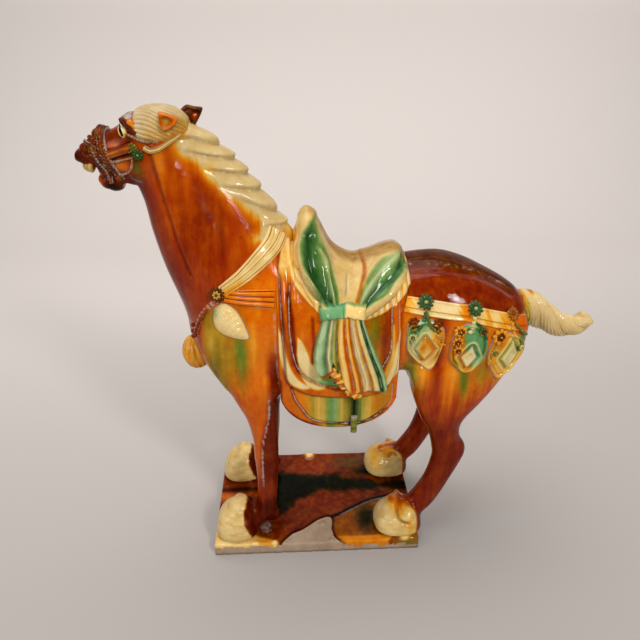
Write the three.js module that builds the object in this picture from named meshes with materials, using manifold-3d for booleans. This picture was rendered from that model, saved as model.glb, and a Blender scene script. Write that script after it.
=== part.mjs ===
// A saddled horse of glazed earthenware in the Tang manner, on its own slab plinth.
// Millimetres, +Z up, origin at the centre of the plinth's underside. The head points
// to -X and the horse's left side, the one that a viewer at -Y sees, is the near side.

import * as THREE from "three";
import { mergeVertices } from "three/addons/utils/BufferGeometryUtils.js";
import Module from "manifold-3d";

// Driving dimensions, in millimetres.
const PLINTH_LENGTH = 200;
const PLINTH_DEPTH = 131;
const PLINTH_THICKNESS = 13;
const PLINTH_EDGE = 1.2; // worn, glaze-softened arris
const FIGURE_HEIGHT = 395.5; // plinth top to the crown of the forelock
const HOOF_GAP = 0.3; // the figure is a casting of its own that stands on the slab

// The figure is laid out in hundredths of its height, so that it scales as one.
const UNIT = FIGURE_HEIGHT / 100;

// How far each layer stands off the skin below it, in hundredths of the height.
const STRAP_RELIEF = 0.6;
const PANEL_RELIEF = 0.5;
const PENDANT_RELIEF = 0.9;
const ROSETTE_RELIEF = 1.4;

// Number of points round a section, by the size of what it goes round.
const SIDES_BODY = 16;
const SIDES_LIMB = 10;
const SIDES_SMALL = 8;

const NEAR = -1;
const FAR = 1;
const SIDES = [NEAR, FAR];

// Each row below is one rib: [x1, z1, x2, z2, half width], the two ends of the section
// as seen from the side. The trunk's ribs run from belly to back.
const TRUNK = [
  [-26.4, 48.0, -26.6, 55.0, 3.0],
  [-25.2, 43.6, -25.8, 59.5, 6.8],
  [-21.5, 40.0, -22.0, 64.0, 9.9],
  [-15.0, 38.0, -15.0, 68.0, 11.8],
  [-6.0, 37.0, -6.0, 70.0, 12.6],
  [4.0, 36.2, 4.0, 68.0, 13.0],
  [13.0, 37.8, 13.0, 67.0, 13.0],
  [20.0, 41.4, 20.0, 68.4, 12.8],
  [27.0, 43.0, 27.0, 69.0, 13.0],
  [33.0, 43.2, 33.0, 67.5, 13.0],
  [38.5, 42.6, 38.5, 64.8, 12.2],
  [43.0, 42.0, 43.0, 62.2, 10.5],
  [46.4, 43.0, 46.4, 59.4, 7.6],
  [48.2, 46.0, 48.2, 55.6, 3.4],
];

// From the throat and poll down into the shoulders.
const NECK = [
  [-36.0, 87.0, -27.0, 97.0, 4.0],
  [-34.3, 81.5, -21.4, 93.0, 4.9],
  [-33.4, 75.0, -15.6, 87.0, 6.0],
  [-31.6, 67.0, -10.0, 79.7, 7.8],
  [-29.0, 59.0, -4.5, 72.5, 9.8],
  [-26.6, 50.5, 4.0, 65.5, 11.4],
  [-20.0, 43.0, 10.0, 57.0, 11.0],
];

// From the back of the skull to the tip of the muzzle.
const HEAD = [
  [-24.6, 92.0, -24.4, 95.5, 2.6],
  [-28.0, 87.0, -27.0, 97.6, 4.5],
  [-33.2, 85.6, -31.6, 98.0, 4.9],
  [-36.8, 86.4, -35.8, 96.9, 4.6],
  [-39.8, 88.0, -39.4, 95.2, 3.7],
  [-42.6, 88.4, -42.4, 93.9, 3.1],
  [-45.0, 88.8, -44.9, 92.0, 2.7],
  [-46.5, 89.3, -46.5, 90.7, 1.5],
];

// The lower jaw, from the cheek to the lower lip.
const JAW = [
  [-32.4, 84.8, -32.4, 90.0, 2.8],
  [-35.6, 84.6, -35.6, 90.0, 3.0],
  [-38.6, 83.6, -38.8, 88.2, 2.5],
  [-41.2, 84.0, -41.6, 87.2, 2.1],
  [-42.4, 85.2, -42.6, 86.4, 1.1],
];

// Limbs are horizontal slices: [front x, back x, z, half width across, distance from the middle].
const FORELEG = [
  [-24.6, -5.0, 51.0, 4.4, 6.6],
  [-22.6, -6.6, 44.6, 4.8, 7.6],
  [-19.4, -7.6, 40.0, 4.3, 8.4],
  [-17.6, -8.1, 36.4, 3.8, 8.8],
  [-16.0, -8.4, 32.9, 3.4, 9.0],
  [-14.8, -8.7, 27.0, 2.8, 9.2],
  [-14.7, -8.8, 22.3, 2.8, 9.3],
  [-14.4, -9.0, 16.7, 2.4, 9.5],
  [-14.6, -9.6, 9.2, 2.3, 9.7],
  [-15.6, -10.0, 5.4, 2.5, 9.9],
  [-17.6, -11.2, 3.0, 2.4, 10.1],
  [-18.8, -13.6, 1.2, 2.0, 10.2],
];

const HINDLEG = [
  [23.5, 46.4, 51.0, 5.2, 6.6],
  [21.5, 44.8, 46.3, 5.6, 7.2],
  [21.3, 41.5, 40.8, 5.0, 8.3],
  [22.6, 38.2, 36.2, 4.3, 8.9],
  [24.4, 34.7, 31.5, 3.5, 9.2],
  [26.4, 33.9, 27.7, 2.9, 9.3],
  [27.6, 35.2, 23.0, 2.8, 9.4],
  [27.8, 35.3, 20.0, 2.7, 9.5],
  [26.3, 33.0, 14.0, 2.4, 9.7],
  [23.6, 30.8, 9.0, 2.4, 9.9],
  [21.0, 28.6, 5.2, 2.5, 10.0],
  [19.6, 25.6, 2.4, 2.3, 10.1],
];

const HOOF_POWER = 2.7;

const FORE_HOOF = [
  [-25.0, -14.6, 0.0, 5.2, 10.4],
  [-25.0, -14.8, 1.6, 5.2, 10.4],
  [-24.0, -15.6, 4.4, 4.8, 10.4],
  [-22.2, -16.2, 7.2, 3.6, 10.4],
  [-19.8, -17.2, 9.2, 1.6, 10.4],
];

const HIND_HOOF = [
  [14.5, 26.4, 0.0, 5.3, 10.3],
  [14.6, 26.2, 1.8, 5.3, 10.3],
  [15.4, 25.4, 5.2, 4.6, 10.3],
  [17.4, 24.0, 7.6, 3.4, 10.3],
  [19.8, 22.4, 8.5, 1.5, 10.3],
];

// Centre lines of round-sectioned parts: [x, z, radius].
const TAIL = [
  [45.5, 56.2, 3.0],
  [49.0, 55.2, 3.6],
  [52.6, 53.0, 3.3],
  [56.6, 50.6, 2.8],
  [60.2, 50.2, 2.4],
  [62.6, 51.2, 1.9],
  [63.7, 51.8, 0.9],
];
const TAIL_STRANDS = 3;
const TAIL_TURNS = 1.3;
const TAIL_GROOVE = 0.1;

const MANE = [
  [-26.5, 95.4, 2.2],
  [-22.0, 92.5, 2.5],
  [-18.5, 89.1, 2.7],
  [-15.8, 85.9, 2.8],
  [-13.1, 82.2, 2.9],
  [-10.3, 77.8, 3.1],
  [-7.2, 73.0, 3.3],
  [-4.2, 69.0, 3.2],
];
const MANE_LOCKS = 7;
const MANE_SCALLOP = 0.24;

// The saddle under its cloth cover, as arches across the back: [x, top z].
const SADDLE = [
  [-3.9, 74.0],
  [-2.6, 77.6],
  [-1.2, 79.0],
  [0.6, 76.2],
  [3.4, 71.2],
  [8.0, 68.4],
  [12.5, 69.3],
  [16.4, 70.6],
  [18.4, 69.6],
  [19.4, 66.5],
];
const SADDLE_FOOT = 58.0;
const SADDLE_HALF_WIDTH = 14.2;
const SADDLE_POWER = 1.5;

// The flap that hangs on each side, a panel with a rounded foot.
const FLAP = { front: -8.0, back: 18.0, top: 62.5, foot: 32.2, arm: 11.5 };
const FLAP_FACE = 14.6; // widest half width of the horse, at the flaps
const FLAP_LIP = 4.6; // how thick the flap's free edge is, from face to root
const FLAP_LIP_RISE = 0.6; // how far the inner edge of the foot sits above the outer one
const PANEL_ROUNDNESS = 2.3; // 2 gives a round foot, more a square one

// Outlines on the flap's face, smaller panels laid one on the other.
const UPPER_PANEL = { front: -5.4, back: 16.2, top: 62.0, foot: 42.6, arm: 9.0 };
const LOWER_PANEL = { front: -5.2, back: 16.9, top: 44.0, foot: 33.8, arm: 8.0 };

// The sash: a knot band high on the flap and the pleated tails that fan out below it.
const SASH_BAND = { front: 0.8, back: 10.0, low: 60.8, high: 63.4, face: 15.6, depth: 2.0 };
const SASH_HEM = [
  [-0.6, 49.0],
  [1.6, 47.4],
  [3.6, 47.6],
  [4.6, 44.0],
  [7.2, 41.8],
  [9.6, 42.2],
  [12.4, 43.0],
  [15.4, 44.0],
];
const SASH_PLEATS = 5;
const SASH_PLEAT_DEPTH = 0.5;
const SASH_TAILS = { rise: 0.4, inset: 0.3, lift: 0.9, sinkTop: 2.0, sinkFoot: 1.5, pleatTop: 0.6 };
const KNOT_SHARES = [0, 0.12, 0.5, 0.88, 1];
const KNOT_PINCH = 0.4; // how much the band draws in at its two ends
const KNOT_POWER = 3;

// Folds of the saddle cover that run into the knot: [x, z, half width] along each.
const COVER_FOLDS = [
  [
    [-0.6, 77.4, 0.5],
    [0.2, 73.0, 1.5],
    [1.8, 67.6, 1.5],
    [4.2, 62.8, 0.7],
  ],
  [
    [17.4, 69.6, 0.6],
    [15.4, 67.6, 1.6],
    [12.4, 64.8, 1.5],
    [8.6, 62.4, 0.7],
  ],
];

// Straps, as slices across the body seen from the side: [x1, z1, x2, z2, width].
const STRAPS = {
  collar: [-5.0, 77.2, -20.0, 64.4, 2.8],
  breast: [-7.0, 63.9, -20.6, 63.9, 3.0],
  chest: [-19.6, 64.2, -29.6, 52.4, 2.4],
  crupper: [18.0, 62.6, 49.5, 56.4, 2.7],
};

// Round flowers on the straps, on both sides: [x, z, radius].
const ROSETTES = [
  [-20.2, 63.6, 2.1],
  [23.0, 61.8, 2.0],
  [33.4, 59.9, 2.0],
  [41.3, 58.2, 1.8],
];
const PETALS = 8;
const PETAL_SCALLOP = 0.14;

// Leaf-shaped pendants under the crupper: [x, top z, half width, height].
const PENDANTS = [
  [23.6, 60.0, 4.2, 13.2],
  [33.0, 58.0, 4.2, 13.0],
  [41.2, 56.2, 3.6, 13.2],
];
const DIAMOND_SHARE = 0.36;

// The cone-shaped shell that hangs from the breast strap, and the bell on the chest.
const SHELL = { x: -18.6, z: 61.2, tipX: -13.8, tipZ: 54.0, halfWidth: 2.7, taper: 0.45 };
const BELL = { x: -26.6, z: 44.4, radius: 3.0, stretch: 1.35, lean: 0.5 };
const BEADS = { x: -28.0, z: 52.6, radius: 1.1 };

const EAR = { x: -26.6, y: 4.0, z: 95.4, length: 5.0, radius: 2.2, back: 0.62, out: 0.3 };
const FORELOCK = { x: -30.4, z: 95.0, rx: 7.0, ry: 4.8, rz: 4.8 };
const BROW = { x: -35.2, y: 3.2, z: 96.4, radius: 1.7 };
const NOSE_BAND = { x: -41.6, z: 91.6, radius: 3.3, tube: 0.6 };

const wasm = await Module();
wasm.setup();

// A closed three.js geometry as a solid, turned right side out where its faces point in.
function toSolid(geometry) {
  const bare = geometry.index ? geometry.toNonIndexed() : geometry.clone();
  bare.deleteAttribute("normal");
  bare.deleteAttribute("uv");
  const merged = mergeVertices(bare, 1e-4);
  const triVerts = new Uint32Array(merged.index.array);
  const at = (k) => new THREE.Vector3().fromBufferAttribute(merged.attributes.position, triVerts[k]);
  let volume = 0;
  for (let k = 0; k < triVerts.length; k += 3) {
    volume += at(k).dot(at(k + 1).cross(at(k + 2)));
  }
  if (volume < 0) triVerts.reverse();
  const vertProperties = merged.attributes.position.array;
  return new wasm.Manifold(new wasm.Mesh({ numProp: 3, vertProperties, triVerts }));
}

function toGeometry(solid) {
  const mesh = solid.getMesh();
  const geometry = new THREE.BufferGeometry();
  geometry.setAttribute("position", new THREE.BufferAttribute(mesh.vertProperties, 3));
  geometry.setIndex(new THREE.BufferAttribute(mesh.triVerts, 1));
  geometry.computeVertexNormals();
  return geometry;
}

function join(solids) {
  return solids.reduce((whole, piece) => whole.add(piece));
}

// A smooth curve through the rows of a table, for every column at once; t runs from 0 to 1.
function rowAt(rows, t) {
  const last = rows.length - 1;
  const place = t * last;
  const i = Math.min(Math.floor(place), last - 1);
  const f = place - i;
  const near = [i - 1, i, i + 1, i + 2].map((k) => rows[THREE.MathUtils.clamp(k, 0, last)]);
  return near[1].map((value, column) => {
    const [a, b, c, d] = near.map((row) => row[column]);
    const bend = 2 * a - 5 * b + 4 * c - d;
    return b + 0.5 * f * (c - a + f * (bend + f * (3 * (b - c) + d - a)));
  });
}

// A closed skin over loops of equal length, with a fan on the first and the last.
function skin(loops) {
  const count = loops[0].length;
  const points = loops.flat();
  const faces = [];
  for (let r = 0; r < loops.length - 1; r++) {
    for (let k = 0; k < count; k++) {
      const a = r * count + k;
      const b = r * count + ((k + 1) % count);
      faces.push(a, b, b + count, a, b + count, a + count);
    }
  }
  const middle = (loop) => loop.reduce((s, p) => s.add(p), new THREE.Vector3()).divideScalar(count);
  const first = points.push(middle(loops[0])) - 1;
  const end = points.push(middle(loops.at(-1))) - 1;
  const lastLoop = (loops.length - 1) * count;
  for (let k = 0; k < count; k++) {
    const next = (k + 1) % count;
    faces.push(first, next, k);
    faces.push(end, lastLoop + k, lastLoop + next);
  }
  const geometry = new THREE.BufferGeometry().setFromPoints(points);
  geometry.setIndex(faces);
  return toSolid(geometry);
}

// One loop round a rib whose ends are a and b, half as wide as width; power 2 is an ellipse.
function ribLoop(a, b, width, sides, power = 2) {
  const middle = a.clone().add(b).multiplyScalar(0.5);
  const reach = b.clone().sub(a).multiplyScalar(0.5);
  const bulge = (value) => Math.sign(value) * Math.abs(value) ** (2 / power);
  return Array.from({ length: sides }, (_, k) => {
    const angle = (2 * Math.PI * (k + 0.5)) / sides;
    const point = middle.clone().addScaledVector(reach, bulge(Math.sin(angle)));
    point.y += width * bulge(Math.cos(angle));
    return point;
  });
}

// A body lofted over its ribs, all of them stood off by grow.
function loft(rows, steps, { sides = SIDES_BODY, grow = 0, power = 2 } = {}) {
  const loops = [];
  for (let s = 0; s <= steps; s++) {
    const [x1, z1, x2, z2, width] = rowAt(rows, s / steps);
    const a = new THREE.Vector3(x1, 0, z1);
    const b = new THREE.Vector3(x2, 0, z2);
    const out = b.clone().sub(a).normalize().multiplyScalar(grow);
    loops.push(ribLoop(a.sub(out), b.add(out), width + grow, sides, power));
  }
  return skin(loops);
}

// A limb lofted over horizontal slices, on one side of the horse.
function limb(rows, steps, side, sides = SIDES_LIMB, power = 2) {
  const loops = [];
  for (let s = 0; s <= steps; s++) {
    const [front, back, z, width, off] = rowAt(rows, s / steps);
    const a = new THREE.Vector3(front, side * off, z);
    const b = new THREE.Vector3(back, side * off, z);
    loops.push(ribLoop(a, b, width, sides, power));
  }
  return skin(loops);
}

// A round-sectioned body along a centre line in the middle plane; ridge gives the radius
// at a share of the length and an angle round the section.
function cordLoft(rows, steps, sides, ridge) {
  const loops = [];
  for (let s = 0; s <= steps; s++) {
    const t = s / steps;
    const [x, z, radius] = rowAt(rows, t);
    const [x0, z0] = rowAt(rows, Math.max(t - 0.01, 0));
    const [x1, z1] = rowAt(rows, Math.min(t + 0.01, 1));
    const across = new THREE.Vector3(z0 - z1, 0, x1 - x0).normalize();
    loops.push(
      Array.from({ length: sides }, (_, k) => {
        const angle = (2 * Math.PI * k) / sides;
        const reach = radius * ridge(t, angle);
        const point = new THREE.Vector3(x, 0, z).addScaledVector(across, reach * Math.sin(angle));
        point.y = reach * Math.cos(angle);
        return point;
      }),
    );
  }
  return skin(loops);
}

function ball(x, y, z, rx, ry = rx, rz = rx, tilt = 0) {
  const geometry = new THREE.SphereGeometry(1, SIDES_SMALL, 6).scale(rx, ry, rz);
  return toSolid(geometry.rotateY(tilt).translate(x, y, z));
}

// The half width of the trunk and neck would hide any cutter shorter than this.
const CUTTER_REACH = 40;

// A prism across one side of the horse over an outline drawn in x and z.
function prism(points, side) {
  const shape = new THREE.Shape(points.map(([x, z]) => new THREE.Vector2(x, z)));
  const geometry = new THREE.ExtrudeGeometry(shape, { depth: CUTTER_REACH, bevelEnabled: false });
  geometry.rotateX(Math.PI / 2);
  return toSolid(side === NEAR ? geometry : geometry.translate(0, CUTTER_REACH, 0));
}

// The slice of space between two parallel planes, as seen from the side.
function slice([x1, z1, x2, z2, width]) {
  const length = Math.hypot(x2 - x1, z2 - z1);
  const geometry = new THREE.BoxGeometry(length, 2 * CUTTER_REACH, width);
  geometry.rotateY(-Math.atan2(z2 - z1, x2 - x1));
  return toSolid(geometry.translate((x1 + x2) / 2, 0, (z1 + z2) / 2));
}

function trunkAndNeck(grow = 0) {
  return loft(TRUNK, 15, { grow }).add(loft(NECK, 7, { grow }));
}

function head() {
  const skull = loft(HEAD, 9, { sides: 12, power: 2.3 });
  const jaw = loft(JAW, 6, { sides: SIDES_SMALL });
  const brows = SIDES.map((side) => ball(BROW.x, side * BROW.y, BROW.z, BROW.radius));
  const band = new THREE.TorusGeometry(NOSE_BAND.radius, NOSE_BAND.tube, 5, 12).rotateY(Math.PI / 2);
  const lock = ball(FORELOCK.x, 0, FORELOCK.z, FORELOCK.rx, FORELOCK.ry, FORELOCK.rz, -0.15);
  return join([skull, jaw, ...brows, toSolid(band.translate(NOSE_BAND.x, 0, NOSE_BAND.z)), lock, ears()]);
}

function ears() {
  return join(
    SIDES.map((side) => {
      const geometry = new THREE.ConeGeometry(EAR.radius, EAR.length, 8).scale(1, 1, 0.6);
      geometry.translate(0, EAR.length / 2, 0).rotateX(Math.PI / 2);
      const aim = new THREE.Vector3(EAR.back, side * EAR.out, 1 - EAR.back).normalize();
      geometry.applyQuaternion(new THREE.Quaternion().setFromUnitVectors(new THREE.Vector3(0, 0, 1), aim));
      return toSolid(geometry.translate(EAR.x, side * EAR.y, EAR.z));
    }),
  );
}

function mane() {
  const scallop = (t) => 1 + MANE_SCALLOP * (Math.abs(Math.sin(Math.PI * MANE_LOCKS * t)) ** 0.6 - 0.6);
  return cordLoft(MANE, 28, 7, scallop);
}

function tail() {
  const strand = (t, angle) => Math.cos(TAIL_STRANDS * (angle + 2 * Math.PI * TAIL_TURNS * t));
  return cordLoft(TAIL, 15, 9, (t, angle) => 1 + TAIL_GROOVE * strand(t, angle));
}

function legs() {
  return join(
    SIDES.flatMap((side) => [
      limb(FORELEG, 10, side),
      limb(HINDLEG, 11, side),
      limb(FORE_HOOF, 4, side, 12, HOOF_POWER),
      limb(HIND_HOOF, 4, side, 12, HOOF_POWER),
    ]),
  );
}

// How far out the cover of the saddle lies at a height, under an arch of a given top.
function saddleFace(z, top) {
  const rise = THREE.MathUtils.clamp((z - SADDLE_FOOT) / (top - SADDLE_FOOT), 0, 1);
  return SADDLE_HALF_WIDTH * (1 - rise ** SADDLE_POWER) ** (1 / SADDLE_POWER);
}

// The height of the saddle's ridge at a place along it.
function saddleTop(x) {
  const after = SADDLE.findIndex(([place]) => place > x);
  const [[x0, z0], [x1, z1]] = [SADDLE[after - 1], SADDLE[after]];
  return THREE.MathUtils.mapLinear(x, x0, x1, z0, z1);
}

function saddle() {
  const loops = [];
  const steps = 14;
  const across = 12;
  for (let s = 0; s <= steps; s++) {
    const [x, top] = rowAt(SADDLE, s / steps);
    const loop = [];
    for (let k = 0; k <= across; k++) {
      const angle = (Math.PI * k) / across;
      const rise = Math.sin(angle) ** (2 / SADDLE_POWER);
      const reach = Math.sign(Math.cos(angle)) * Math.abs(Math.cos(angle)) ** (2 / SADDLE_POWER);
      loop.push(new THREE.Vector3(x, SADDLE_HALF_WIDTH * reach, SADDLE_FOOT + rise * (top - SADDLE_FOOT)));
    }
    loops.push(loop);
  }
  return skin(loops);
}

function coverFolds(side) {
  return COVER_FOLDS.map((rows) => {
    const loops = [];
    const steps = 5;
    for (let s = 0; s <= steps; s++) {
      const [x, z, width] = rowAt(rows, s / steps);
      const face = saddleFace(z, saddleTop(x)) - 0.3;
      const a = new THREE.Vector3(x - width, side * face, z - 0.4 * width);
      const b = new THREE.Vector3(x + width, side * face, z + 0.4 * width);
      loops.push(ribLoop(a, b, 1.1 * width, 8));
    }
    return skin(loops);
  });
}

// The face of a flap at a place on it, bowed both ways.
function flapFace(x, z) {
  const middleX = (FLAP.front + FLAP.back) / 2;
  const middleZ = 47;
  const fall = z > middleZ ? 0.011 : 0.005;
  return FLAP_FACE - fall * (z - middleZ) ** 2 - 0.005 * (x - middleX) ** 2;
}

// The lower edge of a panel: upright sides that turn round into a flat foot.
function panelFoot(panel, x) {
  const middle = (panel.front + panel.back) / 2;
  const share = Math.min(Math.abs(x - middle) / ((panel.back - panel.front) / 2), 1);
  return panel.foot + panel.arm * (1 - (1 - share ** PANEL_ROUNDNESS) ** (1 / PANEL_ROUNDNESS));
}

function flap(side, grow = 0) {
  const columns = 10;
  const rowsDown = 4;
  const loops = [];
  for (let c = 0; c <= columns; c++) {
    const share = (1 - Math.cos((Math.PI * c) / columns)) / 2;
    const x = THREE.MathUtils.lerp(FLAP.front - grow, FLAP.back + grow, share);
    const inside = THREE.MathUtils.clamp(x, FLAP.front, FLAP.back);
    const foot = panelFoot(FLAP, inside) - grow;
    const loop = [];
    for (let r = 0; r <= rowsDown; r++) {
      const z = THREE.MathUtils.lerp(FLAP.top, foot, r / rowsDown);
      loop.push(new THREE.Vector3(x, side * (flapFace(x, z) + grow), z));
    }
    for (const z of [foot + FLAP_LIP_RISE, FLAP.top]) {
      loop.push(new THREE.Vector3(x, side * (flapFace(x, z) - FLAP_LIP), z));
    }
    loops.push(loop);
  }
  return skin(loops);
}

function panelOutline(panel) {
  const points = [
    [panel.back, panel.top],
    [panel.front, panel.top],
  ];
  const steps = 10;
  for (let s = 0; s <= steps; s++) {
    const share = (1 - Math.cos((Math.PI * s) / steps)) / 2;
    const x = THREE.MathUtils.lerp(panel.front, panel.back, share);
    points.push([x, panelFoot(panel, x)]);
  }
  return points;
}

function sash(side) {
  const { front, back, low, high, face, depth } = SASH_BAND;
  const { rise, inset, lift, sinkTop, sinkFoot, pleatTop } = SASH_TAILS;
  const knot = KNOT_SHARES.map((share) => {
    const x = THREE.MathUtils.lerp(front, back, share);
    const pinch = share === 0 || share === 1 ? KNOT_PINCH : 0;
    const bottom = new THREE.Vector3(x, side * (face - depth), low + pinch);
    const top = new THREE.Vector3(x, side * (face - depth), high - pinch);
    return ribLoop(bottom, top, depth - pinch, SIDES_SMALL, KNOT_POWER);
  });
  const columns = 20;
  const loops = [];
  for (let c = 0; c <= columns; c++) {
    const share = c / columns;
    const [hemX, hemZ] = rowAt(SASH_HEM, share);
    const topX = THREE.MathUtils.lerp(front + inset, back - inset, share);
    const pleat = SASH_PLEAT_DEPTH * Math.cos(2 * Math.PI * SASH_PLEATS * share);
    const loop = [0, 0.5, 1].map((down) => {
      const x = THREE.MathUtils.lerp(topX, hemX, down);
      const z = THREE.MathUtils.lerp(low + rise, hemZ, down);
      const swell = lift + pleat * pleatTop * (1 + down);
      return new THREE.Vector3(x, side * (flapFace(x, z) + swell), z);
    });
    loop.push(new THREE.Vector3(hemX, side * (flapFace(hemX, hemZ) - sinkFoot), hemZ));
    loop.push(new THREE.Vector3(topX, side * (flapFace(topX, low) - sinkTop), low + rise));
    loops.push(loop);
  }
  return join([skin(knot), skin(loops)]);
}

function leafOutline([x, top, halfWidth, height]) {
  const steps = 15;
  return Array.from({ length: steps }, (_, k) => {
    const angle = (2 * Math.PI * k) / steps;
    const lobes = 1 + 0.1 * Math.cos(5 * (angle + Math.PI / 2));
    return [x + halfWidth * lobes * Math.cos(angle), top - height / 2 + (height / 2) * lobes * Math.sin(angle)];
  });
}

function diamondOutline([x, top, halfWidth, height]) {
  const middle = top - 0.62 * height;
  const wide = DIAMOND_SHARE * halfWidth;
  const tall = 0.5 * DIAMOND_SHARE * height;
  return [
    [x - wide, middle],
    [x, middle - tall],
    [x + wide, middle],
    [x, middle + tall],
  ];
}

function flowerOutline([x, z, radius]) {
  const steps = 2 * PETALS;
  return Array.from({ length: steps }, (_, k) => {
    const angle = (2 * Math.PI * k) / steps;
    const reach = radius * (1 + PETAL_SCALLOP * (k % 2 ? -1 : 1));
    return [x + reach * Math.cos(angle), z + reach * Math.sin(angle)];
  });
}

// An almond whose round end is up by the strap and whose point hangs down and back.
function shellOutline() {
  const steps = 10;
  const along = new THREE.Vector2(SHELL.tipX - SHELL.x, SHELL.tipZ - SHELL.z);
  const across = new THREE.Vector2(-along.y, along.x).normalize();
  return Array.from({ length: steps }, (_, k) => {
    const angle = (2 * Math.PI * k) / steps;
    const down = (1 - Math.cos(angle)) / 2;
    const wide = SHELL.halfWidth * Math.sin(angle) * (1 - SHELL.taper * down);
    return [SHELL.x + down * along.x + wide * across.x, SHELL.z + down * along.y + wide * across.y];
  });
}

// Everything that lies on the skin, cut from a copy of the body that stands off by its relief.
function harness() {
  const pieces = [];
  const strapped = trunkAndNeck(STRAP_RELIEF);
  for (const strap of Object.values(STRAPS)) {
    pieces.push(strapped.intersect(slice(strap)));
  }
  const padded = trunkAndNeck(PENDANT_RELIEF);
  const studded = trunkAndNeck(ROSETTE_RELIEF);
  for (const side of SIDES) {
    for (const pendant of PENDANTS) {
      pieces.push(padded.intersect(prism(leafOutline(pendant), side)));
      pieces.push(studded.intersect(prism(diamondOutline(pendant), side)));
    }
    for (const rosette of ROSETTES) {
      pieces.push(studded.intersect(prism(flowerOutline(rosette), side)));
    }
    pieces.push(studded.intersect(prism(shellOutline(), side)));
  }
  pieces.push(ball(BELL.x, 0, BELL.z, BELL.radius, BELL.radius, BELL.radius * BELL.stretch, BELL.lean));
  pieces.push(ball(BEADS.x, 0, BEADS.z, BEADS.radius, 2 * BEADS.radius, BEADS.radius));
  return join(pieces);
}

function saddlery() {
  const pieces = [saddle()];
  for (const side of SIDES) {
    pieces.push(flap(side));
    for (const panel of [UPPER_PANEL, LOWER_PANEL]) {
      pieces.push(flap(side, PANEL_RELIEF).intersect(prism(panelOutline(panel), side)));
    }
    pieces.push(sash(side), ...coverFolds(side));
  }
  return join(pieces);
}

function horseGeometry() {
  const figure = join([trunkAndNeck(), head(), mane(), tail(), legs(), saddlery(), harness()]);
  const geometry = toGeometry(figure);
  geometry.scale(UNIT, UNIT, UNIT);
  return geometry;
}

// A slab with its upper edges rounded off by the glaze.
function plinthGeometry() {
  const halfLength = PLINTH_LENGTH / 2;
  const halfDepth = PLINTH_DEPTH / 2;
  const corner = (inset, z) =>
    [
      [-1, -1],
      [1, -1],
      [1, 1],
      [-1, 1],
    ].map(([sx, sy]) => new THREE.Vector3(sx * (halfLength - inset), sy * (halfDepth - inset), z));
  const low = corner(0, 0);
  const shoulder = corner(0, PLINTH_THICKNESS - PLINTH_EDGE);
  const high = corner(PLINTH_EDGE, PLINTH_THICKNESS);
  return toGeometry(skin([low, shoulder, high]));
}

const horse = new THREE.Mesh(
  horseGeometry(),
  new THREE.MeshStandardMaterial({ color: 0xa3561a, roughness: 0.15, metalness: 0 }),
);
horse.name = "horse";
horse.position.z = PLINTH_THICKNESS + HOOF_GAP;

const plinth = new THREE.Mesh(
  plinthGeometry(),
  new THREE.MeshStandardMaterial({ color: 0x4a2614, roughness: 0.2, metalness: 0 }),
);
plinth.name = "plinth";

const tombHorse = new THREE.Group();
tombHorse.add(horse, plinth);

export default tombHorse;
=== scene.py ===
# %% [markdown]
# # A saddled horse in three coloured glazes
#
# The real figure is pressed earthenware: a cream clay body, with relief ornament pressed
# on, dipped and dripped with lead glazes of amber, green and cream that ran together in
# the kiln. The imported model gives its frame, and everything here is laid over that frame
# at the same size. The figure is laid out in hundredths of its height, as its solids are.

import math

import bpy
import numpy as np
import openvdb
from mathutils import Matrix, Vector


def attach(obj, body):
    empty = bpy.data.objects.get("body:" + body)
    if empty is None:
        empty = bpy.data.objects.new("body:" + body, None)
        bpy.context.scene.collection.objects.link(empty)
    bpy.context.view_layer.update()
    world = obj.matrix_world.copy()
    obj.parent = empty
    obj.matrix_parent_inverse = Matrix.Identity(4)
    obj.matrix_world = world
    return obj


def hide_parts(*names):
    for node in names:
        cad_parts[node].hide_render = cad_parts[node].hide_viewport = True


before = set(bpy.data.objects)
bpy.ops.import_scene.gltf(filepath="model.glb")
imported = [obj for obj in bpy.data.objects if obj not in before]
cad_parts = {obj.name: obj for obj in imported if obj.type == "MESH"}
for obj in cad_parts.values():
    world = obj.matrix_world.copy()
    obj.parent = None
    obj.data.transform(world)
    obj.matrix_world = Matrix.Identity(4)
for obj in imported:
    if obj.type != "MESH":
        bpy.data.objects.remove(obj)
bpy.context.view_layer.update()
UNIT = 0.003955  # metres in a hundredth of the figure's height
HOOF_BASE = 0.0133  # the height that the hooves stand at, in metres

# %% [markdown]
# ## The camera
#
# The photograph was taken from a little above, facing the horse's left side. The lens and
# the place of the camera were worked out from the corners of the plinth.

# %% The camera at the photograph's place
CAMERA_PLACE = (-0.0166, -0.478, 0.4764)
CAMERA_DOWN, CAMERA_ROUND = 27.96, -2.65  # in degrees
SENSOR, LENS = 36, 33.75  # in millimetres


def placed(name, data):
    """An object that holds a mesh, a lamp or a camera."""
    thing = bpy.data.objects.new(name, data)
    bpy.context.collection.objects.link(thing)
    return thing


def place_camera():
    lens = bpy.data.cameras.new("camera")
    lens.sensor_width, lens.lens = SENSOR, LENS
    camera = placed("camera", lens)
    camera.location = CAMERA_PLACE
    camera.rotation_euler = (math.radians(90 - CAMERA_DOWN), 0, math.radians(CAMERA_ROUND))
    bpy.context.scene.camera = camera
    return camera


print("camera at", tuple(round(v, 3) for v in place_camera().location))

# %% [markdown]
# ## Clay as a field of distances
#
# A figure pressed in a mould has no seams between neck, trunk and legs. A field of
# distances gives the same soft joints: each form says how far away its skin is, forms are
# pressed together with a rounded minimum, and the skin is drawn where the distance is
# nothing. The forms are set out by ribs, as in the solids, so the outline stays theirs.

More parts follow.
